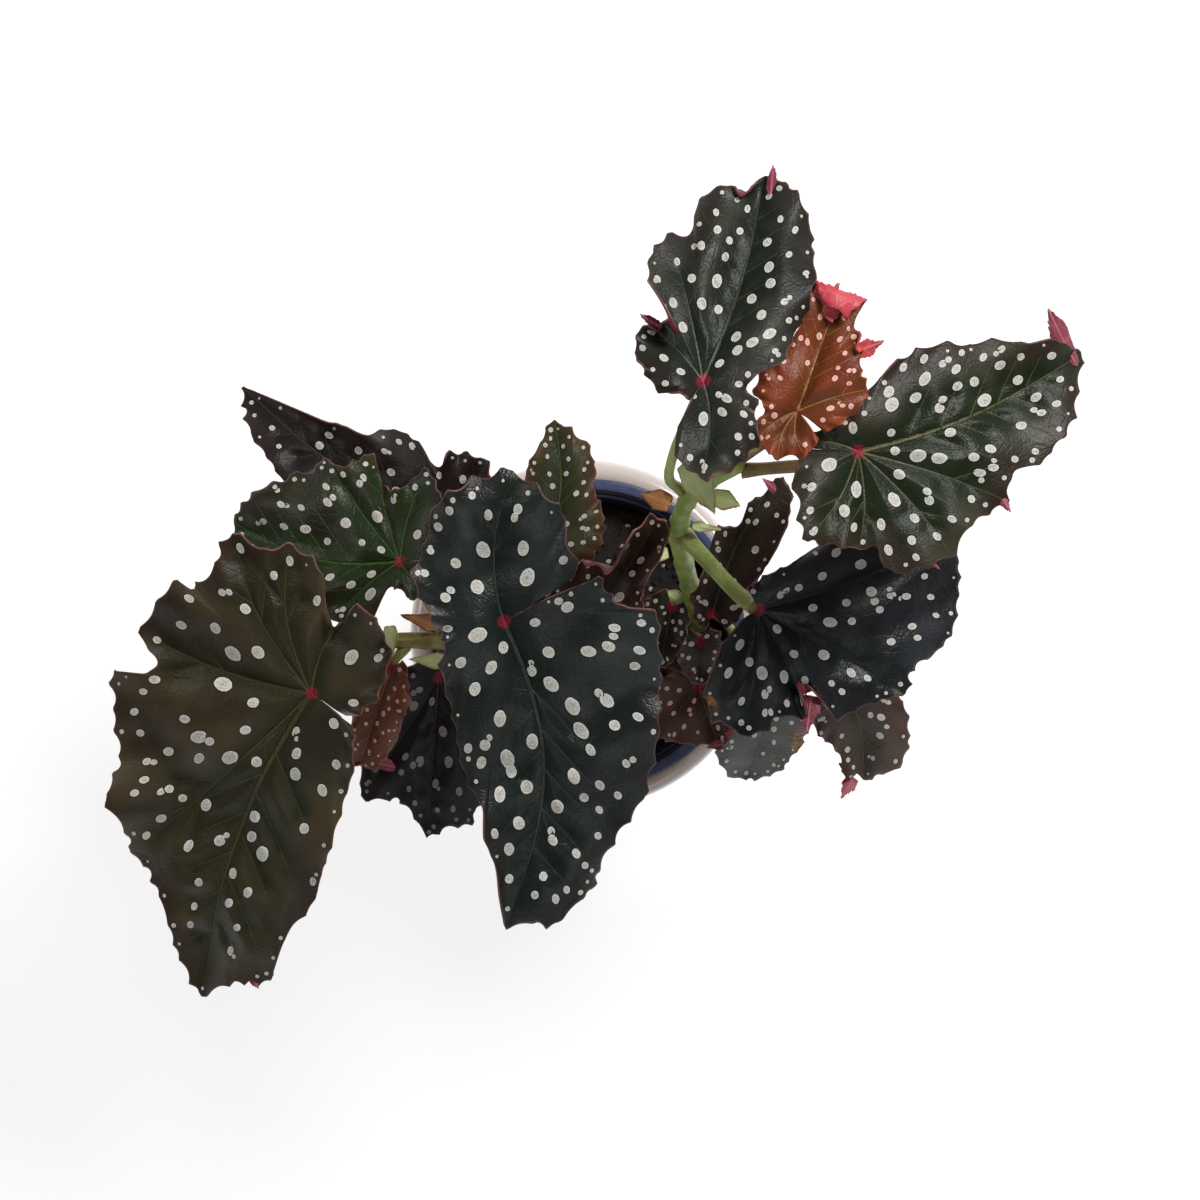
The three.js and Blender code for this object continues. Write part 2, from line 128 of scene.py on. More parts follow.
def blendColours(tree, amount, first, second, blend="MIX"):
    node = tree.nodes.new("ShaderNodeMix")
    node.data_type = "RGBA"
    node.blend_type = blend
    for index, value in ((0, amount), (6, first), (7, second)):
        if isinstance(value, bpy.types.NodeSocket):
            tree.links.new(value, node.inputs[index])
        else:
            node.inputs[index].default_value = value
    return node.outputs[2]


def objectPlace(tree):
    return tree.nodes.new("ShaderNodeTexCoord").outputs["Object"]


def grain(tree, scale, detail=3.0, roughness=0.5, place=None):
    inputs = {"Vector": place or objectPlace(tree), "Scale": scale, "Detail": detail}
    inputs["Roughness"] = roughness
    return addNode(tree, "ShaderNodeTexNoise", inputs).outputs["Fac"]


def cells(tree, scale, feature="F1", place=None):
    inputs = {"Vector": place or objectPlace(tree), "Scale": scale}
    return addNode(tree, "ShaderNodeTexVoronoi", inputs, feature=feature).outputs["Distance"]


def attribute(tree, name):
    return addNode(tree, "ShaderNodeAttribute", attribute_name=name).outputs["Fac"]


def uvAxes(tree, name):
    node = addNode(tree, "ShaderNodeUVMap", uv_map=name)
    split = addNode(tree, "ShaderNodeSeparateXYZ", {"Vector": node.outputs["UV"]})
    return split.outputs["X"], split.outputs["Y"]


def newFinish(name):
    finish = bpy.data.materials.new(name)
    finish.use_nodes = True
    return finish, finish.node_tree, finish.node_tree.nodes["Principled BSDF"]


def connect(tree, shader, colour=None, roughness=None, height=None, depth=0.5, reach=0.0005):
    if colour is not None:
        tree.links.new(colour, shader.inputs["Base Color"])
    if roughness is not None:
        tree.links.new(roughness, shader.inputs["Roughness"])
    if height is not None:
        relief = {"Height": height, "Strength": depth, "Distance": reach}
        bump = addNode(tree, "ShaderNodeBump", relief)
        tree.links.new(bump.outputs["Normal"], shader.inputs["Normal"])


# How far a flat place is from the middle, from its two axes
def flatDistance(tree, x, y):
    squares = calc(tree, "ADD", calc(tree, "MULTIPLY", x, x), calc(tree, "MULTIPLY", y, y))
    return calc(tree, "SQRT", squares)


# Lays a paint over the colour where the mask is, as strongly as the share says
def tint(tree, colour, mask, share, shade):
    return blendColours(tree, calc(tree, "MULTIPLY", mask, share), colour, paint(*shade))


# Full on a vein's line and gone past its sides, and gone where the vein has run out
def veinShape(tree, outer, inner):
    away, half = uvAxes(tree, "vein")
    share = calc(tree, "DIVIDE", calc(tree, "ABSOLUTE", away), calc(tree, "MAXIMUM", half, 0.02))
    return calc(tree, "MULTIPLY", fade(tree, share, outer, inner), fade(tree, half, 0.04, 0.12))


# How fine each pattern of the upper skin is, in grains to the metre. The swell grain sets the size
# of the painted sheen patches
skinScale = {
    "mottle": 38, "swell": 30, "net": 210, "spotEdge": 420, "speckle": 1900, "ragged": 260,
    "rot": 380, "joint": 300, "pores": 1100, "leather": 130, "gloss": 55,
}
# How strongly each tint of the upper skin shows, from 0 to 1
# The swell share is how strongly the painted sheen between the veins shows, and the fold share how
# strongly the painted shade in the folds along them shows
skinShare = {
    "edge": 0.75, "swell": 0.75, "fold": 0.45, "net": 0.09, "outline": 0.8, "dot": 0.55,
    "dry": 0.85, "line": 0.7, "joint": 0.92,
}
skinPaint = {
    "outline": (10, 11, 10), "dot": (70, 66, 62), "joint": (128, 24, 44),
    "dryLight": (150, 104, 34), "dryDark": (66, 36, 16),
}
# paintedSheen is how much lighter than the light colour the painted sheen between the veins is
skinDefaults = {
    "depth": (0.56, 0.56, 0.56, 1), "paintedSheen": 26,
    "line": (112, 70, 62), "spotInner": (164, 163, 156), "spotEdge": (208, 206, 196),
    "under": (92, 24, 36), "underLight": (124, 40, 52), "underVein": (156, 78, 80),
    "edge": (52, 32, 24), "glow": (44, 62, 34), "vein": (92, 98, 58),
    "dryAndSheenHalfShare": 0, "edgeWidth": 10, "veinGlow": 0.6, "veinShow": 0.75, "jointRadius": 2.6,
    "roughness": 0.42, "shine": 0.24, "dryPatches": [],
}


# The upper skin: mottled blade, green along the veins, pale spots, a fine pink edge, a red joint
def leafSkin(name, look):
    finish, tree, shader = newFinish(name)
    flatX, flatY = uvAxes(tree, "flat")
    rim = attribute(tree, "rim")
    nearVein = attribute(tree, "nearVein")

    mottle = fade(tree, grain(tree, skinScale["mottle"], 4, 0.6), 0.36, 0.66)
    colour = blendColours(tree, mottle, paint(*look["dark"]), paint(*look["light"]))
    # One half of the blade takes the half colour: on left_large its paler grey is a painted sheen,
    # and on front_grey its yellow is the dried half
    dryAndSheenHalf = fade(tree, flatY, -0.004, 0.008)
    colour = tint(tree, colour, dryAndSheenHalf, look["dryAndSheenHalfShare"], look.get("half", look["light"]))
    edgeMask = fade(tree, rim, look["edgeWidth"], 0)
    colour = tint(tree, colour, edgeMask, skinShare["edge"], look["edge"])
    colour = tint(tree, colour, nearVein, look["veinGlow"], look["glow"])

    # Painted sheen: paler, greyer skin where the blade swells between veins. Painted shade: dark
    # folds along them
    paintedSheen = [value + look["paintedSheen"] for value in look["light"]]
    paintedHighlightMask = calc(tree, "MULTIPLY", fade(tree, grain(tree, skinScale["swell"], 2), 0.44, 0.66),
                  fade(tree, nearVein, 0.7, 0.1))
    colour = tint(tree, colour, paintedHighlightMask, skinShare["swell"], paintedSheen)
    # Painted shade: the skin along the main veins is darkened as if the folds there lay in shade
    paintedFoldShade = fade(tree, nearVein, 0.55, 0.93)
    colour = tint(tree, colour, paintedFoldShade, skinShare["fold"], [value * 0.5 for value in look["glow"]])

    # The small net of veins between the large ones
    net = fade(tree, cells(tree, skinScale["net"], "DISTANCE_TO_EDGE"), 0.09, 0.0)
    colour = tint(tree, colour, net, skinShare["net"], look["glow"])
    veinMask = veinShape(tree, 1.25, 0.6)
    colour = tint(tree, colour, veinMask, look["veinShow"], look["vein"])
    colour = blendColours(tree, 1.0, colour, look["depth"], "MULTIPLY")

    # Spots: a grey disc with a brighter edge, a dark middle dot and a thin dark outline
    away = flatDistance(tree, *uvAxes(tree, "spot"))
    wobble = calc(tree, "MULTIPLY_ADD", grain(tree, skinScale["spotEdge"], 2), 0.26, -0.13)
    away = calc(tree, "ADD", away, wobble)
    outline = fade(tree, away, 1.3, 1.06)
    colour = tint(tree, colour, outline, skinShare["outline"], skinPaint["outline"])
    speckle = fade(tree, grain(tree, skinScale["speckle"], 2), 0.35, 0.7)
    inner = blendColours(tree, speckle, paint(*look["spotInner"]), paint(*look["spotEdge"]))
    disc = blendColours(tree, fade(tree, away, 0.68, 0.92), inner, paint(*look["spotEdge"]))
    disc = tint(tree, disc, fade(tree, away, 0.16, 0.06), skinShare["dot"], skinPaint["dot"])
    spotMask = fade(tree, away, 1.04, 0.94)
    colour = blendColours(tree, spotMask, colour, disc)

    # Where a lobe has dried out, the skin is yellow and brown with a ragged edge
    for dry in look["dryPatches"]:
        turn = math.radians(dry["at"][0])
        offsetX = calc(tree, "SUBTRACT", flatX, math.cos(turn) * dry["at"][1] * mm)
        offsetY = calc(tree, "SUBTRACT", flatY, math.sin(turn) * dry["at"][1] * mm)
        gap = flatDistance(tree, offsetX, offsetY)
        gap = calc(tree, "MULTIPLY_ADD", grain(tree, skinScale["ragged"], 3), 0.009, gap)
        mask = fade(tree, gap, (dry["radius"] + 5.5) * mm, (dry["radius"] + 3) * mm)
        rot = blendColours(tree, fade(tree, grain(tree, skinScale["rot"], 4), 0.4, 0.62),
                           paint(*skinPaint["dryLight"]), paint(*skinPaint["dryDark"]))
        colour = blendColours(tree, calc(tree, "MULTIPLY", mask, skinShare["dry"]), colour, rot)

    line = fade(tree, rim, 0.5, 0.15)
    colour = tint(tree, colour, line, skinShare["line"], look["line"])
    jointAway = flatDistance(tree, flatX, flatY)
    jointAway = calc(tree, "MULTIPLY_ADD", grain(tree, skinScale["joint"], 2), 0.0026, jointAway)
    jointEdge = look["jointRadius"] * mm
    joint = fade(tree, jointAway, jointEdge + 1.6 * mm, jointEdge)
    colour = tint(tree, colour, joint, skinShare["joint"], skinPaint["joint"])

    # Leathery relief with sunken veins, and patches of stronger and weaker gloss
    pores = fade(tree, cells(tree, skinScale["pores"]), 0.1, 0.7)
    relief = calc(tree, "MULTIPLY_ADD", pores, 0.07, calc(tree, "MULTIPLY", veinMask, -0.7))
    relief = calc(tree, "MULTIPLY_ADD", net, -0.07, relief)
    relief = calc(tree, "MULTIPLY_ADD", spotMask, 0.3, relief)
    leather = grain(tree, skinScale["leather"], 3, 0.5)
    relief = calc(tree, "MULTIPLY_ADD", leather, 0.45, relief)
    patches = grain(tree, skinScale["gloss"], 3)
    gloss = calc(tree, "MULTIPLY_ADD", patches, 0.3, look["roughness"] - 0.12)
    gloss = calc(tree, "MULTIPLY_ADD", spotMask, 0.12, gloss)
    connect(tree, shader, colour, gloss, relief, 0.7, 1.0 * mm)
    shader.inputs["Specular IOR Level"].default_value = look["shine"]
    return finish


# The underside: wine red with paler raised veins
def undersideSkin(name, look):
    finish, tree, shader = newFinish(name)
    mottle = fade(tree, grain(tree, 90, 4), 0.35, 0.7)
    colour = blendColours(tree, mottle, paint(*look["under"]), paint(*look["underLight"]))
    mask = veinShape(tree, 1.6, 0.7)
    colour = blendColours(tree, mask, colour, paint(*look["underVein"]))
    net = fade(tree, cells(tree, 230, "DISTANCE_TO_EDGE"), 0.1, 0)
    colour = tint(tree, colour, net, 0.25, look["underVein"])
    relief = calc(tree, "MULTIPLY_ADD", mask, 0.8, calc(tree, "MULTIPLY", net, 0.2))
    roughness = calc(tree, "MULTIPLY_ADD", grain(tree, 80), 0.25, 0.42)
    connect(tree, shader, colour, roughness, relief, 0.6, 0.6 * mm)
    return finish


# The cut edge of the blade, the same all the way through
def edgeSkin(name, look):
    finish, tree, shader = newFinish(name)
    colour = blendColours(tree, grain(tree, 240), paint(*look["line"]), paint(*look["under"]))
    connect(tree, shader, colour, calc(tree, "MULTIPLY_ADD", grain(tree, 200), 0.2, 0.45))
    return finish

# Each leaf: its outline as in the part, in degrees from the midrib and shares of the length, the
# bow of the midrib as a share of the length, how many spots it has, the spot radius in mm that the
# others are shares of, where its margin rolls up, and the colours of its skin
leaves = {
    "left_large": {
        "azimuth": -114, "pitch": -25, "length": 134, "arch": 14, "cup": 6, "fold": 4,
        "bow": -0.055, "spots": 64, "spotRadius": 3.5, "seed": 11, "slot": "brown_leaf",
        "outline": [
            (-280, 0.11), (-250, 0.18), (-223, 0.24), (-205, 0.27), (-186, 0.28), (-178, 0.19),
            (-170, 0.23), (-166, 0.32), (-150, 0.4), (-142, 0.39), (-132, 0.46), (-110, 0.4),
            (-107, 0.46), (-85, 0.5), (-75, 0.43), (-72, 0.55), (-57, 0.57), (-45, 0.6),
            (-40, 0.66), (-29, 0.7), (-26, 0.74), (-20, 0.74), (-12, 0.82), (-6, 0.92), (0, 1),
            (5, 0.91), (12, 0.87), (15, 0.7), (21, 0.6), (24, 0.5), (29, 0.41), (36, 0.32),
            (50, 0.24), (76, 0.14),
        ],
        "look": {
            # The grey half of this blade is a painted sheen
            "dark": (46, 34, 16), "light": (68, 54, 26), "half": (56, 60, 44), "dryAndSheenHalfShare": 0.5,
            "vein": (92, 88, 44), "glow": (58, 62, 20), "veinShow": 0.6, "edge": (60, 38, 26),
            "shine": 0.28,
        },
    },
    "left_upper": {
        "azimuth": 167, "pitch": -17, "length": 69, "arch": 10, "cup": 6, "fold": 3,
        "bow": 0.1, "spots": 34, "spotRadius": 2.8, "seed": 12, "slot": "green_leaf",
        "outline": [
            (-165, 0.22), (-140, 0.33), (-118, 0.39), (-106, 0.43), (-93, 0.52), (-67, 0.39),
            (-64, 0.62), (-52, 0.6), (-43, 0.62), (-40, 0.72), (-30, 0.71), (-27, 0.79),
            (-21, 0.81), (-18, 0.87), (-5, 0.97), (0, 1), (7, 0.95), (15, 0.93), (28, 0.72),
            (40, 0.5), (52, 0.5), (78, 0.36), (88, 0.13), (118, 0.2), (150, 0.22), (190, 0.2),
        ],
        "look": {
            "dark": (34, 28, 14), "light": (50, 50, 20), "vein": (66, 104, 28),
            "glow": (44, 78, 14),
            "edge": (42, 26, 14), "veinGlow": 0.65, "shine": 0.32, "roughness": 0.38,
        },
    },
    "back_left": {
        "azimuth": 148, "pitch": -6, "length": 103, "arch": 12, "cup": 5, "fold": 3,
        "bow": 0.07, "spots": 30, "spotRadius": 2.8, "seed": 13, "slot": "brown_leaf",
        "outline": [
            (-186, 0.17), (-160, 0.17), (-130, 0.18), (-97, 0.2), (-89, 0.26), (-55, 0.25),
            (-40, 0.21), (-34, 0.3), (-29, 0.36), (-24, 0.42), (-11, 0.47), (-8, 0.55),
            (-5, 0.62), (-3, 0.73), (-1, 0.9), (0, 1), (4, 0.93), (9, 0.86), (12, 0.79),
            (17, 0.71), (32, 0.57), (52, 0.43), (82, 0.31), (98, 0.23), (128, 0.22), (156, 0.16),
        ],
        "look": {
            "dark": (34, 26, 27), "light": (48, 40, 40), "vein": (76, 68, 58), "glow": (46, 42, 36),
            "edge": (52, 28, 24), "spotInner": (164, 158, 154),
        },
    },
    "centre": {
        "azimuth": -91, "pitch": -20, "length": 113, "arch": 12, "cup": 7, "fold": 3,
        "bow": 0.13, "spots": 74, "spotRadius": 3.6, "seed": 14, "slot": "dark_leaf",
        "outline": [
            (-237, 0.25), (-230, 0.28), (-215, 0.31), (-210, 0.36), (-194, 0.4), (-183, 0.44),
            (-168, 0.42), (-147, 0.4), (-134, 0.33), (-117, 0.31), (-104, 0.24), (-73, 0.19),
            (-53, 0.22), (-42, 0.27), (-28, 0.33), (-16, 0.47), (-8, 0.57), (-6, 0.6), (-5, 0.69),
            (-2, 0.79), (-1, 0.9), (0, 1), (5, 0.98), (10, 0.99), (18, 0.9), (22, 0.82),
            (30, 0.74), (38, 0.7), (54, 0.59), (72, 0.5), (95, 0.46), (100, 0.34), (116, 0.31),
            (120, 0.15),
        ],
        "look": {
            "dark": (17, 27, 26), "light": (32, 43, 40), "vein": (66, 74, 66), "glow": (26, 46, 34),
            "edge": (34, 30, 24), "shine": 0.32, "roughness": 0.36, "veinShow": 0.6,
        },
    },
    "back_olive": {
        "azimuth": 89, "pitch": -18, "length": 48, "arch": 6, "cup": 4, "fold": 3,
        "bow": -0.07, "spots": 34, "spotRadius": 1.7, "seed": 15, "slot": "green_leaf",
        "outline": [
            (-168, 0.25), (-140, 0.29), (-110, 0.36), (-80, 0.42), (-59, 0.47), (-40, 0.52),
            (-31, 0.67), (-22, 0.79), (-18, 0.85), (-11, 0.88), (-9, 0.95), (-3, 0.94), (0, 1),
            (4, 0.93), (6, 0.84), (10, 0.76), (18, 0.65), (27, 0.52), (46, 0.43), (75, 0.38),
            (110, 0.33), (168, 0.25),
        ],
        "look": {
            "dark": (50, 54, 24), "light": (80, 76, 36), "vein": (96, 108, 46),
            "glow": (66, 74, 28),
            "edge": (104, 60, 26), "edgeWidth": 7,
        },
    },
    "inner_brown": {
        "azimuth": 57, "pitch": 19, "length": 56, "arch": 4, "cup": 4, "fold": 3,
        "bow": 0.0, "spots": 10, "spotRadius": 2.2, "seed": 16, "slot": "brown_leaf",
        "outline": [
            (-133, 0.19), (-90, 0.22), (-58, 0.3), (-36, 0.42), (-28, 0.51), (-20, 0.53),
            (-13, 0.68), (-11, 0.81), (-8, 0.9), (-6, 0.99), (0, 1), (3, 0.99), (5, 0.9),
            (9, 0.79), (12, 0.66), (17, 0.59), (27, 0.58), (45, 0.48), (70, 0.36), (110, 0.24),
            (168, 0.17),
        ],
        "curls": [{"angle": 20, "width": 16, "depth": 1.8, "turn": 150, "radius": 0.5}],
        "look": {
            "dark": (38, 24, 18), "light": (62, 38, 24), "vein": (74, 58, 36), "glow": (56, 40, 24),
            "edge": (74, 42, 24), "spotInner": (160, 146, 138), "line": (170, 112, 96),
        },
    },
    "top": {
        "azimuth": 73, "pitch": -15, "length": 73, "arch": 10, "cup": 7, "fold": 4,
        "bow": -0.04, "spots": 52, "spotRadius": 2.5, "seed": 17, "slot": "dark_leaf",
        "outline": [
            (-192, 0.23), (-184, 0.35), (-165, 0.42), (-145, 0.4), (-122, 0.35), (-98, 0.23),
            (-81, 0.19), (-66, 0.24), (-60, 0.35), (-48, 0.42), (-38, 0.56), (-28, 0.7),
            (-23, 0.77), (-17, 0.87), (-10, 0.95), (-3, 1), (0, 1), (3, 0.92), (5, 0.93),
            (13, 0.88), (17, 0.84), (19, 0.76), (21, 0.67), (29, 0.67), (39, 0.59), (49, 0.44),
            (52, 0.31), (60, 0.37), (84, 0.32), (122, 0.2), (142, 0.11), (164, 0.11),
        ],
        "curls": [
            {"angle": 53, "width": 7, "depth": 2.5, "turn": 150, "radius": 0.7},
            {"angle": 5, "width": 5, "depth": 4, "turn": 150, "radius": 0.8},
        ],
        "look": {
            "dark": (34, 32, 26), "light": (54, 54, 44), "vein": (76, 82, 60), "glow": (38, 52, 38),
            "edge": (48, 34, 28),
        },
    },
    "young_orange": {
        "azimuth": 70, "pitch": 4, "length": 39, "arch": 5, "cup": 5, "fold": 5,
        "bow": 0.0, "spots": 30, "spotRadius": 1.6, "seed": 18, "slot": "young_leaf",
        "outline": [
            (-109, 0.29), (-97, 0.31), (-71, 0.48), (-53, 0.59), (-40, 0.58), (-30, 0.66),
            (-26, 0.8), (-14, 0.84), (-11, 1), (0, 1), (13, 0.96), (17, 0.76), (20, 0.66),
            (35, 0.52), (43, 0.45), (65, 0.43), (89, 0.37), (108, 0.27), (126, 0.36), (146, 0.43),
            (177, 0.43), (197, 0.35), (208, 0.37), (238, 0.29),
        ],
        "tip": [(-12, 1.1), (-4, 1.26), (5, 1.24), (14, 1.08)],
        "curls": [
            {"angle": 1, "width": 22, "depth": 9.5, "turn": 165, "radius": 1.1},
            {"angle": -26, "width": 6, "depth": 4.5, "turn": 130, "radius": 0.8},
        ],
        "look": {
            "dark": (122, 42, 16), "light": (162, 62, 22), "vein": (198, 142, 84),
            "glow": (176, 96, 44), "edge": (128, 66, 34), "edgeWidth": 8,
            "spotInner": (226, 158, 146), "spotEdge": (238, 184, 172), "line": (150, 76, 50),
            "under": (176, 40, 60), "underLight": (206, 74, 86), "underVein": (224, 128, 112),
            "veinShow": 0.9, "shine": 0.3, "jointRadius": 1.2,
        },
    },
    "right_upper": {
        "azimuth": 24, "pitch": -10, "length": 87, "arch": 12, "cup": 9, "fold": 4,
        "bow": -0.053, "spots": 60, "spotRadius": 3.1, "seed": 19, "slot": "dark_leaf",
        "outline": [
            (-206, 0.19), (-183, 0.26), (-165, 0.29), (-156, 0.34), (-145, 0.38), (-130, 0.36),
            (-113, 0.37), (-104, 0.36), (-101, 0.42), (-96, 0.48), (-81, 0.5), (-71, 0.53),
            (-59, 0.51), (-48, 0.55), (-41, 0.62), (-37, 0.6), (-30, 0.62), (-27, 0.72),
            (-21, 0.78), (-14, 0.87), (-5, 0.94), (0, 1), (6, 0.89), (8, 0.8), (16, 0.69),
            (19, 0.61), (28, 0.52), (35, 0.44), (44, 0.35), (57, 0.23), (68, 0.15),
            (105, 0.15), (145, 0.19), (152, 0.18),
        ],
        "look": {
            "dark": (32, 38, 24), "light": (52, 52, 34), "vein": (112, 106, 66),
            "glow": (38, 62, 24),
            "edge": (66, 44, 34), "edgeWidth": 14,
        },
    },
    "right_lower": {
        "azimuth": -29, "pitch": -10, "length": 63, "arch": 8, "cup": 6, "fold": 3,
        "bow": 0.0, "spots": 52, "spotRadius": 2.7, "seed": 20, "slot": "dark_leaf",
        "outline": [
            (-122, 0.12), (-108, 0.3), (-99, 0.43), (-94, 0.57), (-84, 0.68), (-77, 0.68),
            (-69, 0.73), (-56, 0.7), (-51, 0.63), (-36, 0.69), (-28, 0.62), (-25, 0.79),
            (-10, 0.86), (0, 1), (8, 0.96), (15, 1.08), (22, 1.17), (34, 1.22), (49, 1.27), (60, 1),
            (70, 0.72), (76, 0.5), (81, 0.38), (87, 0.28), (104, 0.2), (148, 0.14),
        ],
        "curls": [{"angle": -31, "width": 6, "depth": 6, "turn": 160, "radius": 0.8}],
        "look": {
            "dark": (11, 14, 19), "light": (32, 36, 44), "vein": (56, 66, 62), "glow": (16, 38, 26),
            "dryPatches": [{"at": (-90, 40), "radius": 4}],
            "edge": (26, 20, 22), "shine": 0.32, "roughness": 0.38, "spotInner": (156, 160, 160),
            "veinShow": 0.6,
        },
    },
    "front_taupe": {
        "azimuth": -77, "pitch": -41, "length": 45, "arch": 5, "cup": 4, "fold": 4,
        "bow": 0.1, "spots": 16, "spotRadius": 1.9, "seed": 21, "slot": "brown_leaf",
        "outline": [
            (-168, 0.17), (-100, 0.22), (-60, 0.37), (-45, 0.44), (-25, 0.47), (-13, 0.57),
            (-11, 0.72), (-3, 0.9), (0, 1), (6, 0.86), (20, 0.87), (28, 0.86), (38, 0.77),
            (55, 0.62), (73, 0.48), (100, 0.3), (151, 0.17),
        ],
        "curls": [{"angle": -4, "width": 6, "depth": 5, "turn": 150, "radius": 0.8, "skew": 25}],
        "look": {
            "dark": (70, 52, 44), "light": (98, 78, 68), "vein": (108, 100, 66),
            "glow": (82, 72, 54),
            "edge": (88, 52, 42), "spotInner": (196, 184, 174), "under": (150, 60, 76),
        },
    },
    "front_grey": {
        "azimuth": -98, "pitch": -60, "length": 34, "arch": 3, "cup": 4, "fold": 3,
        "bow": 0.0, "spots": 11, "spotRadius": 1.7, "seed": 22, "slot": "dark_leaf",
        "outline": [
            (-144, 0.24), (-60, 0.3), (-40, 0.5), (-34, 0.82), (-20, 0.92), (-9, 1), (8, 0.95),
            (24, 0.86), (35, 0.72), (47, 0.66), (78, 0.45), (120, 0.3), (158, 0.24),
        ],
        "look": {
            "dark": (30, 32, 35), "light": (52, 54, 58), "vein": (84, 90, 88), "glow": (44, 50, 48),
            "edge": (64, 46, 22), "half": (84, 70, 22), "dryAndSheenHalfShare": 0.4,
            "depth": (0.34, 0.34, 0.34, 1), "dryPatches": [{"at": (52, 21), "radius": 5}],
        },
    },
    "hooked_brown": {
        "azimuth": 66, "pitch": 14, "length": 56, "arch": 4, "cup": 4, "fold": 3,
        "bow": 0.05, "spots": 14, "spotRadius": 2.1, "seed": 23, "slot": "brown_leaf",
        "outline": [
            (-114, 0.13), (-60, 0.2), (-27, 0.4), (-22, 0.52), (-15, 0.78), (-9, 0.95), (-6, 1),
            (0, 1), (2, 0.86), (7, 0.79), (9, 0.62), (22, 0.6), (27, 0.45), (42, 0.26), (76, 0.18),
            (129, 0.13), (180, 0.11),
        ],
        "look": {
            "dark": (36, 26, 23), "light": (60, 46, 40), "vein": (68, 76, 44), "glow": (48, 44, 32),
            "edge": (56, 34, 28), "spotInner": (158, 146, 142),
        },
    },
    "low_inner": {
        "azimuth": -70, "pitch": -20, "length": 29, "arch": 3, "cup": 3, "fold": 3,
        "bow": 0.0, "spots": 14, "spotRadius": 1.9, "seed": 24, "slot": "brown_leaf",
        "outline": [
            (-197, 0.2), (-140, 0.4), (-118, 0.6), (-80, 0.8), (-62, 0.92), (-43, 0.87),
            (-25, 0.85), (-9, 0.85), (8, 0.98), (16, 0.98), (24, 0.6), (40, 0.35), (97, 0.15),
        ],
        "look": {
            "dark": (72, 46, 36), "light": (94, 64, 50), "vein": (110, 84, 56),
            "glow": (84, 58, 42),
            "edge": (100, 56, 44), "spotInner": (196, 150, 144), "spotEdge": (208, 172, 162),
        },
    },
    "low_speckled": {
        "azimuth": -100, "pitch": -19, "length": 25, "arch": 3, "cup": 3, "fold": 2,
        "bow": 0.0, "spots": 18, "spotRadius": 1.2, "seed": 25, "slot": "green_leaf",
        "outline": [
            (-150, 0.3), (-90, 0.45), (-55, 0.6), (-30, 0.75), (-12, 0.95), (0, 1), (10, 0.9),
            (30, 0.58), (65, 0.35), (120, 0.2),
        ],
        "look": {
            "dark": (34, 34, 22), "light": (56, 50, 30), "vein": (70, 72, 36), "glow": (50, 54, 28),
            "edge": (50, 32, 22),
        },
    },
    "low_grey": {
        "azimuth": -85, "pitch": -29, "length": 18, "arch": 3, "cup": 3, "fold": 2,
        "bow": 0.0, "spots": 6, "spotRadius": 1.6, "seed": 26, "slot": "brown_leaf",
        "outline": [
            (-150, 0.35), (-95, 0.5), (-54, 0.65), (-30, 0.8), (-8, 1), (3, 0.98), (20, 0.8),
            (52, 0.55), (105, 0.45), (140, 0.35),
        ],
        "look": {
            "dark": (48, 40, 36), "light": (66, 58, 54), "vein": (80, 76, 60), "glow": (56, 52, 42),
            "edge": (84, 52, 48),
        },
    },
    "young_rust": {
        "azimuth": -111, "pitch": -32, "length": 46, "arch": 4, "cup": 4, "fold": 3,
        "bow": 0.0, "spots": 22, "spotRadius": 1.2, "seed": 27, "slot": "young_leaf",
        "outline": [
            (-165, 0.1), (-90, 0.13), (-45, 0.25), (-28, 0.45), (-14, 0.65), (-5, 0.9), (0, 1),
            (5, 1), (15, 0.75), (22, 0.63), (30, 0.45), (46, 0.33), (70, 0.2), (137, 0.12),
        ],
        "curls": [{"angle": 3, "width": 9, "depth": 5, "turn": 140, "radius": 0.8}],
        "look": {
            "dark": (104, 56, 26), "light": (142, 80, 40), "vein": (176, 120, 70),
            "glow": (138, 86, 46), "edge": (128, 64, 38), "spotInner": (220, 168, 150),
            "spotEdge": (228, 186, 170), "under": (138, 24, 60), "underLight": (164, 40, 80),
        },
    },
    "left_low": {
        "azimuth": -96, "pitch": -22, "length": 67, "arch": 5, "cup": 5, "fold": 3,
        "bow": 0.0, "spots": 22, "spotRadius": 2.7, "seed": 28, "slot": "dark_leaf",
        "outline": [
            (-195, 0.1), (-123, 0.14), (-78, 0.22), (-54, 0.4), (-38, 0.7), (-28, 0.88),
            (-20, 0.83), (-12, 0.79), (0, 1), (6, 0.93), (17, 0.92), (20, 0.83), (28, 0.83),
            (34, 0.55), (43, 0.35), (69, 0.2), (120, 0.13),
        ],
        "look": {
            "dark": (15, 16, 19), "light": (28, 28, 32), "vein": (46, 50, 38), "glow": (24, 28, 22),
            "edge": (34, 24, 22), "spotInner": (112, 112, 114), "spotEdge": (132, 132, 134),
        },
    },
}

# Lengths are in mm, and usualLength is the blade that the other lengths are drawn up for
bladeMake = {
    "thickness": 0.7, "columnStep": 1.15, "ringStep": 2.7, "fewestColumns": 120,
    "fewestRings": 16, "valley": 0.1, "ringBunching": 1.25, "toothDepth": 7, "usualLength": 110,
}
toothMake = {
    "gap": (4.5, 11.5), "height": (1.3, 4.0), "sharpness": 2.6, "sink": 0.8, "plainEnd": 6.0,
    "usualLength": 90, "growth": 0.4,
}
# Each kind of vein has its half width where it starts, for the usual blade, and where it ends
veinMake = {
    "midrib": (1.15, 0.25), "main": (0.72, 0.16), "side": (0.42, 0.12), "branch": (0.34, 0.1),
    "mainHalf": 0.3, "leastTurn": 16, "leastApart": 13, "bend": 0.88, "sideTurn": 0.74,
    "branchTurn": 0.6, "glow": 6,
}
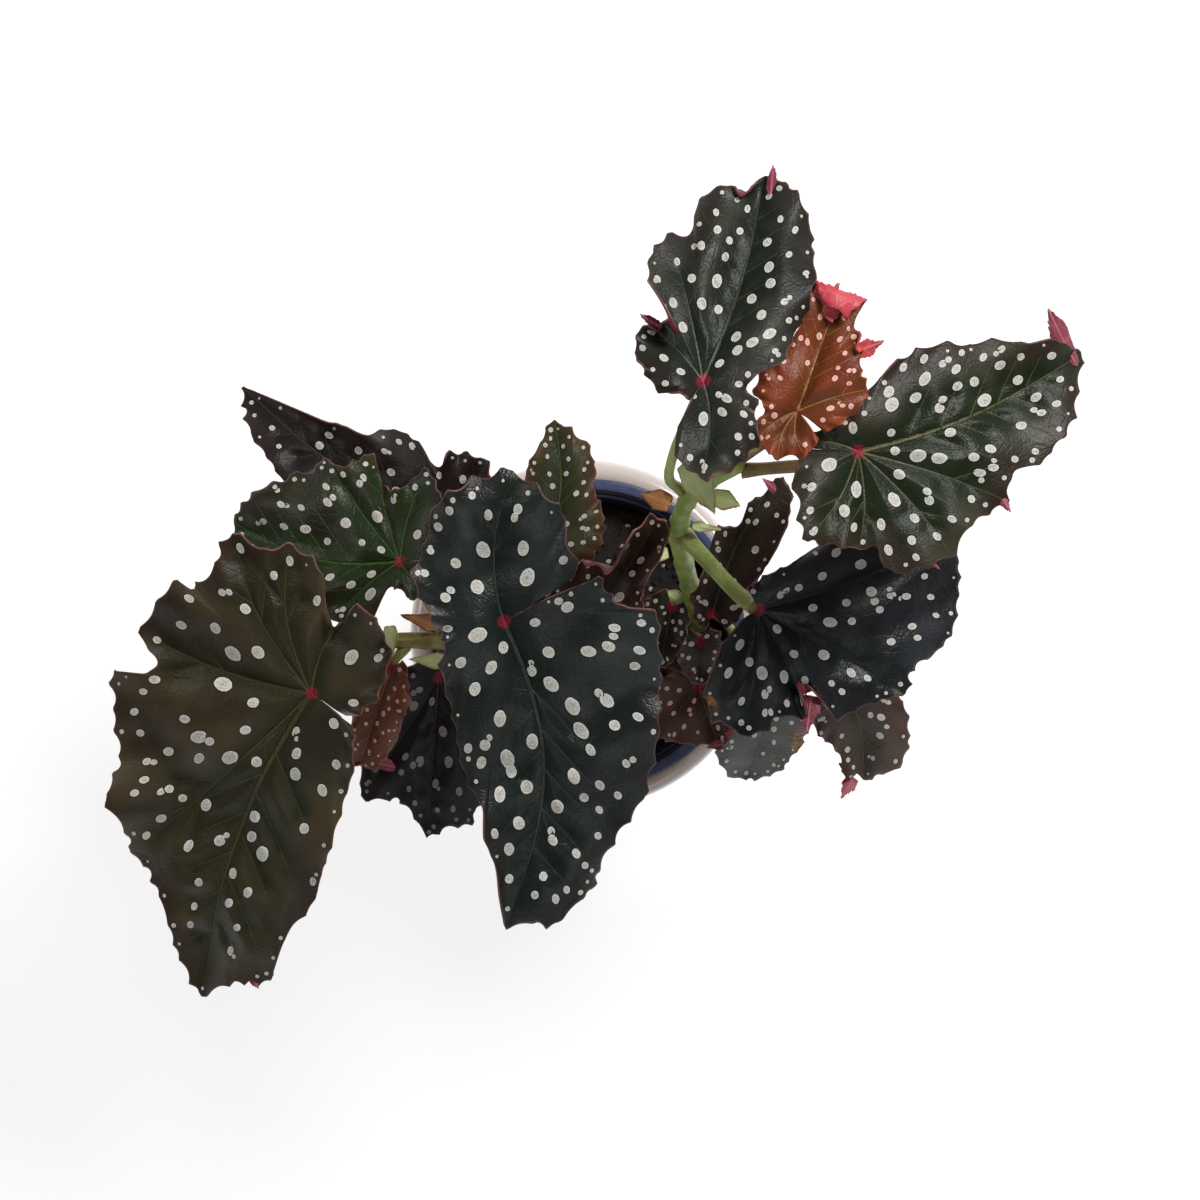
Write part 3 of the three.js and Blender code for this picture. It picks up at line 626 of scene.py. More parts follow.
# Shares of the wanted radius or of the way to the margin, and chances from 0 to 1
spotMake = {
    "tries": 60, "fullAt": 0.45, "fullSpread": 0.36, "outermost": 0.93, "jointClear": 7,
    "marginClear": 1, "veinClear": 0.5, "twinChance": 0.14, "marginChance": 0.62,
    "stretch": (1.1, 1.55), "marginRadius": (0.45, 0.95), "marginInset": (0.8, 1.5),
}
reliefMake = {
    "waves": 5, "waveSpan": (26, 58), "waveHeight": (0.5, 1.15), "swell": 2.9,
    "swellReach": 5.5, "ruffles": (7, 11, 17), "ruffleHeight": (0.5, 1.1), "ruffle": 1.9,
    "ruffleFrom": 0.62, "groove": 0.5, "grooveReach": 1.3,
}


# The part's own height over the slope: a valley along the midrib, and a hanging tip and sides
def bladeHeight(x, y, leaf):
    along = x / leaf["length"]
    across = 2 * y / leaf["length"]
    valley = bladeMake["valley"]
    rise = leaf["fold"] * (np.hypot(across, valley) - valley)
    return rise - leaf["arch"] * along ** 2 - leaf["cup"] * across ** 2


# The height of flat places once the blade is on its slope
def heightOnSlope(flat, leaf):
    slope = math.tan(math.radians(leaf["pitch"]))
    return flat[:, 0] * slope + bladeHeight(flat[:, 0], flat[:, 1], leaf)


def pointing(turn):
    return np.array([math.cos(turn), math.sin(turn)])


# Turns places about the upright through the joint
def turned(places, degrees):
    cosine, sine = pointing(math.radians(degrees))
    moved = places.copy()
    moved[:, 0] = places[:, 0] * cosine - places[:, 1] * sine
    moved[:, 1] = places[:, 0] * sine + places[:, 1] * cosine
    return moved


# Where a tip rolls back, the blade runs on past the part's outline by the length that is rolled
def withTip(leaf):
    tip = leaf.get("tip")
    if not tip:
        return leaf
    before = [point for point in leaf["outline"] if point[0] < tip[0][0]]
    after = [point for point in leaf["outline"] if point[0] > tip[-1][0]]
    return leaf | {"outline": before + tip + after}


def lobePoints(leaf):
    turns = np.radians([point[0] for point in leaf["outline"]])
    reach = np.array([point[1] for point in leaf["outline"]]) * leaf["length"]
    return np.stack([np.cos(turns) * reach, np.sin(turns) * reach], 1)


# Keeps the margin going round the joint, so that no part of the blade folds over itself
def onwardOnly(curve, least=0.0004):
    turns = np.unwrap(np.arctan2(curve[:, 1], curve[:, 0]))
    steady = np.arange(len(turns)) * least
    turns = np.maximum.accumulate(turns - steady) + steady
    reach = np.linalg.norm(curve, axis=1)
    return np.stack([np.cos(turns) * reach, np.sin(turns) * reach], 1)


# A cubic from start to end that leaves and arrives along the two given directions
def cubic(t, start, leave, end, arrive):
    return ((2 * t ** 3 - 3 * t ** 2 + 1) * start + (t ** 3 - 2 * t ** 2 + t) * leave
            + (3 * t ** 2 - 2 * t ** 3) * end + (t ** 3 - t ** 2) * arrive)


# A margin through the lobes and bays. It is round in the bays and pointed on the lobes
def marginCurve(leaf, steps=14, pointed=0.92):
    points = lobePoints(leaf)
    before = np.vstack([points[:1], points[:-1]])
    after = np.vstack([points[1:], points[-1:]])
    inward, outward = points - before, after - points
    isLobe = inward[:, 0] * outward[:, 1] - inward[:, 1] * outward[:, 0] > 0
    smooth = (after - before) / 2
    curve = []
    for index in range(len(points) - 1):
        start, end = points[index], points[index + 1]
        chord = end - start
        share = np.linalg.norm(chord)
        leave = smooth[index] / max(np.linalg.norm(smooth[index]), 1e-6) * share
        arrive = smooth[index + 1] / max(np.linalg.norm(smooth[index + 1]), 1e-6) * share
        if isLobe[index]:
            leave = leave * (1 - pointed) + chord * pointed
        if isLobe[index + 1]:
            arrive = arrive * (1 - pointed) + chord * pointed
        t = np.linspace(0, 1, steps, endpoint=False)[:, None]
        curve.append(cubic(t, start, leave, end, arrive))
    return onwardOnly(np.vstack(curve + [points[-1:]]))


def evenlySpaced(points, count):
    step = np.linalg.norm(np.diff(points, axis=0), axis=1)
    travelled = np.concatenate([[0], np.cumsum(step)])
    stations = np.linspace(0, travelled[-1], count)
    axes = [np.interp(stations, travelled, points[:, axis]) for axis in range(points.shape[1])]
    return np.stack(axes, 1), stations


# Pointed teeth at uneven gaps with hollow scallops between them, and none beside the slit
def addTeeth(margin, stations, random, size):
    along = np.gradient(margin, axis=0)
    along /= np.linalg.norm(along, axis=1)[:, None]
    outward = np.stack([along[:, 1], -along[:, 0]], 1)
    plain = toothMake["plainEnd"]
    places = [plain]
    while places[-1] < stations[-1] - plain:
        places.append(places[-1] + random.uniform(*toothMake["gap"]) * size)
    places = np.array(places)
    heights = random.uniform(*toothMake["height"], len(places)) * size
    index = np.clip(np.searchsorted(places, stations) - 1, 0, len(places) - 2)
    share = (stations - places[index]) / (places[index + 1] - places[index])
    sharp = toothMake["sharpness"]
    lift = heights[index] * np.clip(1 - share, 0, 1) ** sharp
    lift += heights[index + 1] * np.clip(share, 0, 1) ** sharp
    lift -= toothMake["sink"] * size
    lift *= np.clip(np.minimum(stations, stations[-1] - stations) / plain, 0, 1)
    facing = (outward * margin).sum(1) / np.linalg.norm(margin, axis=1)
    lift *= np.clip(facing * 1.6 - 0.35, 0, 1)
    tips = [int(np.argmin(np.abs(stations - place))) for place in places]
    return onwardOnly(margin + outward * lift[:, None], 0), outward, tips


def segmentsOf(points, kind, size):
    startHalf, endHalf = veinMake[kind]
    half = np.linspace(startHalf * size, endHalf, len(points))
    return [np.concatenate([points[i], points[i + 1], [half[i], half[i + 1]]])
            for i in range(len(points) - 1)]


# How far out each point is, as a share of the way from the joint to the margin
def insideShare(points, margin):
    turns = np.unwrap(np.arctan2(margin[:, 1], margin[:, 0]))
    reach = np.linalg.norm(margin, axis=1)
    order = np.argsort(turns)
    middle = (turns[0] + turns[-1]) / 2
    angle = np.arctan2(points[:, 1], points[:, 0])
    angle = middle + (angle - middle + math.pi) % (2 * math.pi) - math.pi
    limit = np.interp(angle, turns[order], reach[order], left=0.01, right=0.01)
    return np.linalg.norm(points, axis=1) / limit


# Veins fan out from the joint to the lobes. The midrib bows, and side veins leave it at an angle
def veinLines(leaf, margin):
    length = leaf["length"]
    size = math.sqrt(length / bladeMake["usualLength"])
    t = np.linspace(0, 0.98, 16)
    bow = leaf["bow"] * length * np.sin(math.pi * t) * (1.1 - 0.3 * t)
    midrib = np.stack([t * length, bow], 1)
    lines = segmentsOf(midrib, "midrib", size)
    lobes = leaf["outline"]
    lastTurn = -999
    for index in range(1, len(lobes) - 1):
        degrees, reach = lobes[index]
        isTip = reach >= lobes[index - 1][1] and reach >= lobes[index + 1][1]
        tooNear = degrees - lastTurn < veinMake["leastApart"]
        if not isTip or abs(degrees) < veinMake["leastTurn"] or tooNear:
            continue
        lastTurn = degrees
        end = pointing(math.radians(degrees)) * reach * length * 0.95
        middle = pointing(math.radians(degrees * veinMake["bend"])) * reach * length * 0.52
        s = np.linspace(0, 1, 9)[:, None]
        curve = 2 * s * (1 - s) * middle + s ** 2 * end
        lines += segmentsOf(curve, "main", size)
        for side, fork in ((-1, 4), (1, 5)):
            heading = math.atan2(end[1], end[0]) + side * veinMake["branchTurn"]
            steps = np.linspace(0, 0.34, 5)[:, None] * reach * length
            branch = curve[fork] + steps * pointing(heading)
            branch = branch[insideShare(branch, margin) < 0.94]
            lines += segmentsOf(branch, "branch", size)
    for index in range(3, 14):
        side = 1 if index % 2 else -1
        steps = np.linspace(0, 1, 40)[:, None] * length * 0.55
        branch = midrib[index] + steps * pointing(side * veinMake["sideTurn"])
        branch = branch[insideShare(branch, margin) < 0.93][::3]
        if len(branch) > 2:
            lines += segmentsOf(branch, "side", size)
    return np.array(lines)


# How far each point is from each vein
def veinDistance(points, lines):
    start, run = lines[:, 0:2], lines[:, 2:4] - lines[:, 0:2]
    squared = np.maximum((run ** 2).sum(1), 1e-9)
    offset = points[:, None] - start[None]
    along = np.clip((offset * run[None]).sum(2) / squared, 0, 1)
    gap = offset - along[..., None] * run[None]
    return np.sqrt((gap ** 2).sum(2))


def mainVeins(lines):
    return lines[:, 4] > veinMake["mainHalf"]


# Spots lie in the lanes between the veins, largest half way out, now and then in touching pairs
def scatterSpots(leaf, margin, outward, tips, lines, random):
    spots = []
    low, high = margin.min(0), margin.max(0)
    mainLines = lines[mainVeins(lines)]
    jointClear = spotMake["jointClear"] * leaf["length"] / bladeMake["usualLength"]

    def tryPlace(centre, radius, gap):
        share = insideShare(centre[None], margin)[0]
        if share > spotMake["outermost"] or np.linalg.norm(centre) < jointClear + radius:
            return False
        edge = np.min(np.linalg.norm(margin - centre, axis=1))
        if edge < radius + spotMake["marginClear"]:
            return False
        if veinDistance(centre[None], mainLines).min() < radius + spotMake["veinClear"]:
            return False
        for spot in spots:
            if np.linalg.norm(spot["centre"] - centre) < spot["radius"] + radius + gap:
                return False
        angle = math.atan2(centre[1], centre[0]) + random.uniform(-0.25, 0.25)
        stretch = random.uniform(*spotMake["stretch"])
        spots.append({"centre": centre, "radius": radius, "stretch": stretch, "angle": angle})
        return True

    wanted = leaf["spots"]
    tries = wanted * spotMake["tries"]
    for attempt in range(tries):
        if len(spots) >= wanted:
            break
        centre = random.uniform(low, high)
        share = insideShare(centre[None], margin)[0]
        if share > 1:
            continue
        fullness = math.exp(-((share - spotMake["fullAt"]) / spotMake["fullSpread"]) ** 2)
        radius = leaf["spotRadius"] * (0.3 + 0.42 * fullness * random.uniform(0.4, 1))
        gap = leaf["spotRadius"] * random.uniform(0.7, 1.6) * (1 - 0.5 * attempt / tries)
        if tryPlace(centre, radius, gap) and random.random() < spotMake["twinChance"]:
            turn = random.uniform(0, 2 * math.pi)
            partner = radius * random.uniform(0.55, 0.9)
            step = (radius + partner) * 1.12
            tryPlace(centre + step * pointing(turn), partner, 0.1)
    for index in tips:
        if random.random() < spotMake["marginChance"]:
            radius = random.uniform(*spotMake["marginRadius"])
            inset = radius + random.uniform(*spotMake["marginInset"])
            centre = margin[index] - outward[index] * inset
            spots.append({"centre": centre, "radius": radius, "stretch": 1.1, "angle": 0})
    return spots


# Rolls the margin up over a line across the lobe, so that its underside shows
def rollMargin(points, curl, margin):
    turn = math.radians(curl["angle"])
    turns = np.arctan2(margin[:, 1], margin[:, 0])
    aside = np.abs((turns - turn + math.pi) % (2 * math.pi) - math.pi)
    reach = np.linalg.norm(margin[np.argmin(aside)])
    outward = pointing(turn + math.radians(curl.get("skew", 0)))
    start = pointing(turn) * (reach - curl["depth"])
    flat = points[:, :2] - start
    past = np.maximum(flat @ outward, 0)
    along = flat @ np.array([-outward[1], outward[0]])
    window = np.clip(1.5 - np.abs(along) / curl["width"] * 2, 0, 1)
    radius = curl["radius"]
    angle = np.minimum(past / radius, math.radians(curl["turn"]) * window)
    rest = past - radius * angle
    forward = radius * np.sin(angle) + rest * np.cos(angle) - past
    moved = points.copy()
    moved[:, :2] += forward[:, None] * outward
    moved[:, 2] += radius * (1 - np.cos(angle)) + rest * np.sin(angle)
    return moved


def setUv(mesh, name, values):
    layer = mesh.uv_layers.new(name=name)
    layer.data.foreach_set("uv", values.astype(np.float32).ravel())


def setFloat(mesh, name, values):
    layer = mesh.attributes.new(name, "FLOAT", "POINT")
    layer.data.foreach_set("value", values.astype(np.float32))


def readFloat(mesh, name):
    values = np.zeros(len(mesh.vertices))
    mesh.attributes[name].data.foreach_get("value", values)
    return values


def meshFrom(bm, name):
    mesh = bpy.data.meshes.new(name)
    bm.to_mesh(mesh)
    bm.free()
    return mesh


# A finished piece: it rides on the plant, stands for its node and takes the record's finish
def addPiece(name, mesh, node, finishes):
    for finish in finishes:
        mesh.materials.append(finish)
    piece = bpy.data.objects.new(name, mesh)
    bpy.context.scene.collection.objects.link(piece)
    mesh.polygons.foreach_set("use_smooth", [True] * len(mesh.polygons))
    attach(piece, "root")
    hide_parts(node)
    return piece


def thicken(piece, thickness):
    wall = piece.modifiers.new("thickness", "SOLIDIFY")
    wall.thickness = thickness * mm
    wall.offset = -1
    return wall


# A flat blade as a grid round the joint. The teeth are only near the margin
def drawPlan(name, margin, rings, smoothMargin=None):
    inner = margin if smoothMargin is None else smoothMargin
    bm = bmesh.new()
    bmesh.ops.create_grid(bm, x_segments=len(margin) - 1, y_segments=rings, size=1)
    shareLayer = bm.verts.layers.float.new("share")
    for vert in bm.verts:
        share = (vert.co.y + 1) / 2
        share = 1 - (1 - share) ** bladeMake["ringBunching"]
        column = int(round((vert.co.x + 1) / 2 * (len(margin) - 1)))
        edged = share ** bladeMake["toothDepth"]
        x, y = (inner[column] * (1 - edged) + margin[column] * edged) * share
        vert[shareLayer] = share
        vert.co = (x, y, 0)
    bmesh.ops.remove_doubles(bm, verts=bm.verts, dist=1e-4)
    bmesh.ops.reverse_faces(bm, faces=bm.faces)
    return meshFrom(bm, name)


def meshArrays(mesh):
    places = np.zeros(len(mesh.vertices) * 3)
    mesh.vertices.foreach_get("co", places)
    loops = np.zeros(len(mesh.loops), int)
    mesh.loops.foreach_get("vertex_index", loops)
    totals = np.zeros(len(mesh.polygons), int)
    mesh.polygons.foreach_get("loop_total", totals)
    owner = np.repeat(np.arange(len(totals)), totals)
    return places.reshape(-1, 3), loops, owner, totals


# The vein and spot maps: each face looks to the one vein and the one spot nearest to it
def markSkin(mesh, plan, loops, owner, totals, lines, spots):
    corner = plan[loops]
    middle = np.zeros((len(totals), 2))
    np.add.at(middle, owner, corner)
    middle /= totals[:, None]

    nearest = np.argmin(veinDistance(middle, lines) - 0.6 * lines[:, 4], axis=1)
    line = lines[nearest][owner]
    run = line[:, 2:4] - line[:, 0:2]
    reach = np.maximum(np.linalg.norm(run, axis=1), 1e-6)
    offset = corner - line[:, 0:2]
    aside = (run[:, 0] * offset[:, 1] - run[:, 1] * offset[:, 0]) / reach
    share = (run * offset).sum(1) / reach ** 2
    half = line[:, 4] + (line[:, 5] - line[:, 4]) * np.clip(share, 0, 1)
    half *= np.clip(1 - (np.maximum(share - 1, 0) + np.maximum(-share, 0)) * reach / 1.5, 0, 1)
    setUv(mesh, "vein", np.stack([aside, half], 1))

    centre, radius, stretch, angle = [
        np.array([spot[key] for spot in spots]) for key in ("centre", "radius", "stretch", "angle")]
    gap = np.linalg.norm(middle[:, None] - centre[None], axis=2) - radius[None]
    pick = np.argmin(gap, axis=1)[owner]
    offset = corner - centre[pick]
    cosine, sine = np.cos(angle[pick]), np.sin(angle[pick])
    lengthwise = (offset[:, 0] * cosine + offset[:, 1] * sine) / radius[pick] / stretch[pick]
    crosswise = (offset[:, 1] * cosine - offset[:, 0] * sine) / radius[pick]
    setUv(mesh, "spot", np.stack([lengthwise, crosswise], 1))
    setUv(mesh, "flat", corner * mm)


# Waves, swellings between the veins and a ruffled edge, all in mm
def bladeRelief(plan, share, nearness, leaf, random):
    size = math.sqrt(leaf["length"] / bladeMake["usualLength"])
    waves = np.zeros(len(plan))
    for wave in range(reliefMake["waves"]):
        heading = random.uniform(0, 2 * math.pi)
        span = random.uniform(*reliefMake["waveSpan"]) * size
        phase = random.uniform(0, 2 * math.pi)
        run = plan[:, 0] * math.cos(heading) + plan[:, 1] * math.sin(heading)
        height = random.uniform(*reliefMake["waveHeight"])
        waves += np.sin(run * 2 * math.pi / span + phase) * height
    swellReach = reliefMake["swellReach"] * size
    swell = reliefMake["swell"] * size * (1 - np.exp(-(nearness / swellReach) ** 2))
    angle = np.arctan2(plan[:, 1], plan[:, 0])
    ruffle = np.zeros(len(plan))
    for count in reliefMake["ruffles"]:
        phase = random.uniform(0, 6.3)
        ruffle += np.sin(angle * count + phase) * random.uniform(*reliefMake["ruffleHeight"])
    start = reliefMake["ruffleFrom"]
    ruffle *= np.clip((share - start) / (1 - start), 0, 1) ** 2 * reliefMake["ruffle"] * size
    groove = -reliefMake["groove"] * np.exp(-(nearness / reliefMake["grooveReach"]) ** 2)
    return waves * size * np.clip(share * 2.5, 0, 1) + swell + ruffle + groove


def setInPlace(mesh, places, azimuth, joint, thickness):
    moved = turned(places, azimuth) + joint
    moved[:, 2] += thickness / 2
    mesh.vertices.foreach_set("co", (moved * mm).ravel())
    mesh.update()


# The joint is where the part's blade starts: the node's box, less the box of the same plain blade
def jointOf(node, leaf):
    low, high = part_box(node)
    points = lobePoints(leaf)
    plain = [np.zeros((1, 3))]
    for ring in leaf.get("rings", (0.36, 0.7, 1)):
        flat = points * ring
        plain.append(turned(np.column_stack([flat, heightOnSlope(flat, leaf)]), leaf["azimuth"]))
    plain = np.vstack(plain)
    return (np.array(low) + np.array(high)) / 2 / mm - (plain.min(0) + plain.max(0)) / 2


def growLeaf(name, leaf):
    random = np.random.default_rng(leaf["seed"])
    joint = jointOf("leaf_" + name, leaf)
    leaf = withTip(leaf)
    curve = marginCurve(leaf)
    perimeter = np.linalg.norm(np.diff(curve, axis=0), axis=1).sum()
    step = bladeMake["columnStep"] * min(1, leaf["length"] / 60)
    columns = max(bladeMake["fewestColumns"], int(perimeter / step))
    rings = max(bladeMake["fewestRings"], int(leaf["length"] / bladeMake["ringStep"]))
    smoothMargin, stations = evenlySpaced(curve, columns)
    size = (leaf["length"] / toothMake["usualLength"]) ** toothMake["growth"]
    margin, outward, tips = addTeeth(smoothMargin, stations, random, size)
    mesh = drawPlan("blade_" + name, margin, rings, smoothMargin)
    places, loops, owner, totals = meshArrays(mesh)
    share = readFloat(mesh, "share")
    plan = places[:, :2].copy()

    lines = veinLines(leaf, margin)
    spots = scatterSpots(leaf, smoothMargin, outward, tips, lines, random)
    markSkin(mesh, plan, loops, owner, totals, lines, spots)
    mainAway = veinDistance(plan, lines)[:, mainVeins(lines)].min(1)
    setFloat(mesh, "nearVein", np.exp(-(mainAway / veinMake["glow"]) ** 2))
    edge = np.concatenate([np.linalg.norm(plan[i:i + 800, None] - margin[None], axis=2).min(1)
                           for i in range(0, len(plan), 800)])
    setFloat(mesh, "rim", np.where(share > 0.999, 0, edge))

    places[:, 2] = heightOnSlope(plan, leaf) + bladeRelief(plan, share, mainAway, leaf, random)
    for curl in leaf.get("curls", []):
        places = rollMargin(places, curl, margin)

    setInPlace(mesh, places, leaf["azimuth"], joint, bladeMake["thickness"])
    look = skinDefaults | leaf["look"]
    finishes = [leafSkin("skin_" + name, look), undersideSkin("under_" + name, look),
                edgeSkin("edge_" + name, look)]
    piece = addPiece("leaf_blade_" + name, mesh, "leaf_" + name, finishes)
    wall = thicken(piece, bladeMake["thickness"])
    wall.material_offset = 1
    wall.material_offset_rim = 2


for leafName, leafShape in leaves.items():
    growLeaf(leafName, leafShape)
print("leaves grown")

# Tips and lobes that have twisted over, so that their wine-red underside faces up: where each one
# leaves the margin, which way it points, how long and wide it is in mm, and how far it rises
flaps = [
    {"leaf": "right_upper", "at": (-1, 0.95), "heading": 121, "length": 20, "width": 4.5,
     "rise": 6},
    {"leaf": "right_upper", "at": (-41, 0.59), "heading": -60, "length": 5, "width": 3, "rise": 1},
    {"leaf": "right_upper", "at": (-81, 0.47), "heading": -40, "length": 6, "width": 3, "rise": 1},
    {"leaf": "left_large", "at": (7, 0.86), "heading": -60, "length": 9, "width": 4, "rise": 1},
    {"leaf": "left_low", "at": (-22, 0.62), "heading": 165, "length": 9, "width": 5, "rise": 3},
    {"leaf": "front_taupe", "at": (-3, 0.82), "heading": -125, "length": 9, "width": 6, "rise": 3},
    {"leaf": "hooked_brown", "at": (-4, 0.93), "heading": 140, "length": 8, "width": 4, "rise": 3},
    {"leaf": "right_lower", "at": (-30, 0.6), "heading": -100, "length": 12, "width": 8, "rise": 3},
    {"leaf": "front_grey", "at": (-36, 0.7), "heading": -170, "length": 6, "width": 4, "rise": 2},
    {"leaf": "low_inner", "at": (12, 0.8), "heading": 20, "length": 7, "width": 5, "rise": 2},
    {"leaf": "young_orange", "at": (6, 0.84), "heading": 60, "length": 10, "width": 12, "rise": 4},
    {"leaf": "young_orange", "at": (-26, 0.7), "heading": 20, "length": 8, "width": 6, "rise": 3},
    {"leaf": "top", "at": (55, 0.3), "heading": 150, "length": 7, "width": 3, "rise": 1},
    {"leaf": "top", "at": (-3, 0.93), "heading": 85, "length": 8, "width": 3, "rise": 2},
]
flapLook = {"under": (104, 28, 48), "underLight": (142, 58, 76), "underVein": (170, 92, 104)}
flapMake = {
    "columns": 64, "rings": 18, "thickness": 0.5, "twist": 0.55, "teeth": 0.09, "lift": 1.6,
    "hollow": 1.6, "veinHalf": 0.3, "firstSeed": 40,
}


def growFlap(flap, seed):
    random = np.random.default_rng(seed)
    name, leaf = flap["leaf"], leaves[flap["leaf"]]
    title = "flap_%s_%d" % (name, seed)
    flat = (pointing(math.radians(flap["at"][0])) * flap["at"][1] * leaf["length"])[None]
    base = turned(np.column_stack([flat, heightOnSlope(flat, leaf)]), leaf["azimuth"])[0]
    base += jointOf("leaf_" + name, leaf)
    base[2] += flapMake["lift"]

    slim = flap["width"] / flap["length"]
    shape = {"length": flap["length"], "outline": [
        (-178, 0.1), (-110, slim * 0.4), (-45, slim * 0.7), (-18, 0.66), (0, 1), (18, 0.6),
        (45, slim * 0.7), (110, slim * 0.4), (178, 0.1)]}
    margin = evenlySpaced(marginCurve(shape), flapMake["columns"])[0]
    margin *= (1 + random.uniform(-1, 1, len(margin)) * flapMake["teeth"])[:, None]
    mesh = drawPlan(title, margin, flapMake["rings"])
    places, loops = meshArrays(mesh)[:2]
    plan = places[:, :2].copy()
    share = plan[:, 0] / flap["length"]
    setUv(mesh, "flat", plan[loops] * mm)
    veinHalf = np.full(len(loops), flapMake["veinHalf"])
    setUv(mesh, "vein", np.stack([plan[loops][:, 1], veinHalf], 1))
    across = plan[:, 1] / flap["width"]
    twist = flapMake["twist"] * share * plan[:, 1]
    places[:, 2] = flap["rise"] * np.clip(share, 0, 1) ** 1.5 + twist
    places[:, 2] -= flapMake["hollow"] * across ** 2
    setInPlace(mesh, places, flap["heading"], base, flapMake["thickness"])
    look = skinDefaults | flapLook | leaf["look"]
    finish = undersideSkin("flap_finish_%s_%d" % (name, seed), look)
    piece = addPiece(title, mesh, "leaf_" + name, [finish])
    thicken(piece, flapMake["thickness"])


for flapNumber, flapShape in enumerate(flaps):
    growFlap(flapShape, flapMake["firstSeed"] + flapNumber)
print("flaps grown")

# The papery scales at the nodes, as in the part: a lance with a keel, and a frayed, curling edge
stipules = {
    "upper_broad": {"azimuth": -61, "pitch": -14, "length": 19, "width": 14},
    "upper_small": {"azimuth": -20, "pitch": 10, "length": 10, "width": 9},
    "crown": {"azimuth": 35, "pitch": 25, "length": 10, "width": 8},
    "dry_wide": {"azimuth": 160, "pitch": 5, "length": 11, "width": 10, "dry": True},
    "pale_hook": {"azimuth": -8, "pitch": 12, "length": 10, "width": 5},
    "dry_left": {"azimuth": 165, "pitch": 12, "length": 15, "width": 8, "dry": True},
    "pale_left": {"azimuth": 176, "pitch": 22, "length": 14, "width": 8},
    "left_tip": {"azimuth": -85, "pitch": 8, "length": 11, "width": 7},
    "low_red": {"azimuth": 10, "pitch": 30, "length": 9, "width": 6},
    "low_olive": {"azimuth": 150, "pitch": 20, "length": 9, "width": 8},
    "mid_gold": {"azimuth": 190, "pitch": 20, "length": 9, "width": 7},
}
scaleLooks = {
    "fresh": {"base": (150, 172, 104), "light": (190, 204, 148), "edge": (168, 120, 84)},
    "dry": {"base": (124, 74, 34), "light": (176, 122, 70), "edge": (92, 50, 26)},
}
scaleMake = {
    "thickness": 0.35, "arch": 1.5, "cup": 1, "fold": 0.6, "columns": 72, "rings": 16,
    "fray": 0.025, "bend": (0.5, 0.9), "edgeCurl": 0.9, "firstSeed": 60,
}


def scaleSkin(name, look):
    finish, tree, shader = newFinish(name)
    flatY = uvAxes(tree, "flat")[1]
    # Fine veins run along the scale, close together
    across = calc(tree, "MULTIPLY", flatY, 7000)
    stripes = calc(tree, "SINE", calc(tree, "MULTIPLY_ADD", grain(tree, 160), 5, across))
    stripes = fade(tree, stripes, -0.4, 1)
    colour = blendColours(tree, grain(tree, 220, 4), paint(*look["base"]), paint(*look["light"]))
    colour = tint(tree, colour, stripes, 0.45, look["light"])
    colour = tint(tree, colour, fade(tree, attribute(tree, "rim"), 1.2, 0.1), 0.8, look["edge"])
    keel = fade(tree, calc(tree, "ABSOLUTE", flatY), 0.0009, 0.0002)
    colour = tint(tree, colour, keel, 0.6, look["light"])
    relief = calc(tree, "MULTIPLY_ADD", stripes, 0.4, calc(tree, "MULTIPLY", keel, 0.8))
    roughness = calc(tree, "MULTIPLY_ADD", grain(tree, 90), 0.2, 0.5)
    connect(tree, shader, colour, roughness, relief, 0.5, 0.3 * mm)
    shader.inputs["Subsurface Weight"].default_value = 0.15
    shader.inputs["Subsurface Radius"].default_value = (0.002, 0.002, 0.001)
    return finish


scaleFinishes = {kind: scaleSkin("scale_" + kind, look) for kind, look in scaleLooks.items()}


def growScale(name, scale, seed):
    random = np.random.default_rng(seed)
    slim = scale["width"] / scale["length"]
    outline = [(-178, 0.08), (-100, slim * 0.3), (-40, slim * 0.62), (0, 1),
               (40, slim * 0.62), (100, slim * 0.3), (178, 0.08)]
    leaf = scaleMake | scale | {"outline": outline, "rings": (0.5, 1)}
    joint = jointOf("stipule_" + name, leaf)
    margin = evenlySpaced(marginCurve(leaf), scaleMake["columns"])[0]
    fray = scaleMake["fray"]
    margin *= (1 + random.uniform(-fray, fray, len(margin)))[:, None]
    mesh = drawPlan("scale_" + name, margin, scaleMake["rings"])
    places, loops = meshArrays(mesh)[:2]
    share = readFloat(mesh, "share")
    plan = places[:, :2].copy()
    setUv(mesh, "flat", plan[loops] * mm)
    setFloat(mesh, "rim", (1 - share) * np.linalg.norm(margin, axis=1).mean())
    places[:, 2] = heightOnSlope(plan, leaf)
    bend = random.uniform(*scaleMake["bend"])
    places[:, 2] += bend * np.sin(plan[:, 0] * 0.7 + random.uniform(0, 6)) * share ** 2
    sideways = np.abs(np.sin(np.arctan2(plan[:, 1], plan[:, 0])))
    places[:, 2] += scaleMake["edgeCurl"] * share ** 3 * sideways
    setInPlace(mesh, places, leaf["azimuth"], joint, scaleMake["thickness"])
    isDry = scale.get("dry")
    finish = scaleFinishes["dry" if isDry else "fresh"]
    piece = addPiece("papery_" + name, mesh, "stipule_" + name, [finish])
    thicken(piece, scaleMake["thickness"])


for scaleNumber, (scaleName, scaleShape) in enumerate(stipules.items()):
    growScale(scaleName, scaleShape, scaleMake["firstSeed"] + scaleNumber)
print("stipules grown")

# Lengths are in mm. A swelling is a share of the radius, with the length that it fades over
stemMake = {
    "sides": 20, "step": 1.8, "rootDepth": 4, "intoCane": 3.2, "intoBlade": 0.4, "caneTip": 2.5,
    "caneSides": 8, "petioleSides": 6, "flatness": 0.99999, "firstSeed": 90,
    "footSwell": (0.28, 5), "bladeSwell": (0.2, 4), "nodeSwell": (0.17, 1.6), "nodeGap": 26,
    "firstNode": 14, "tipNarrowing": 0.6,
}


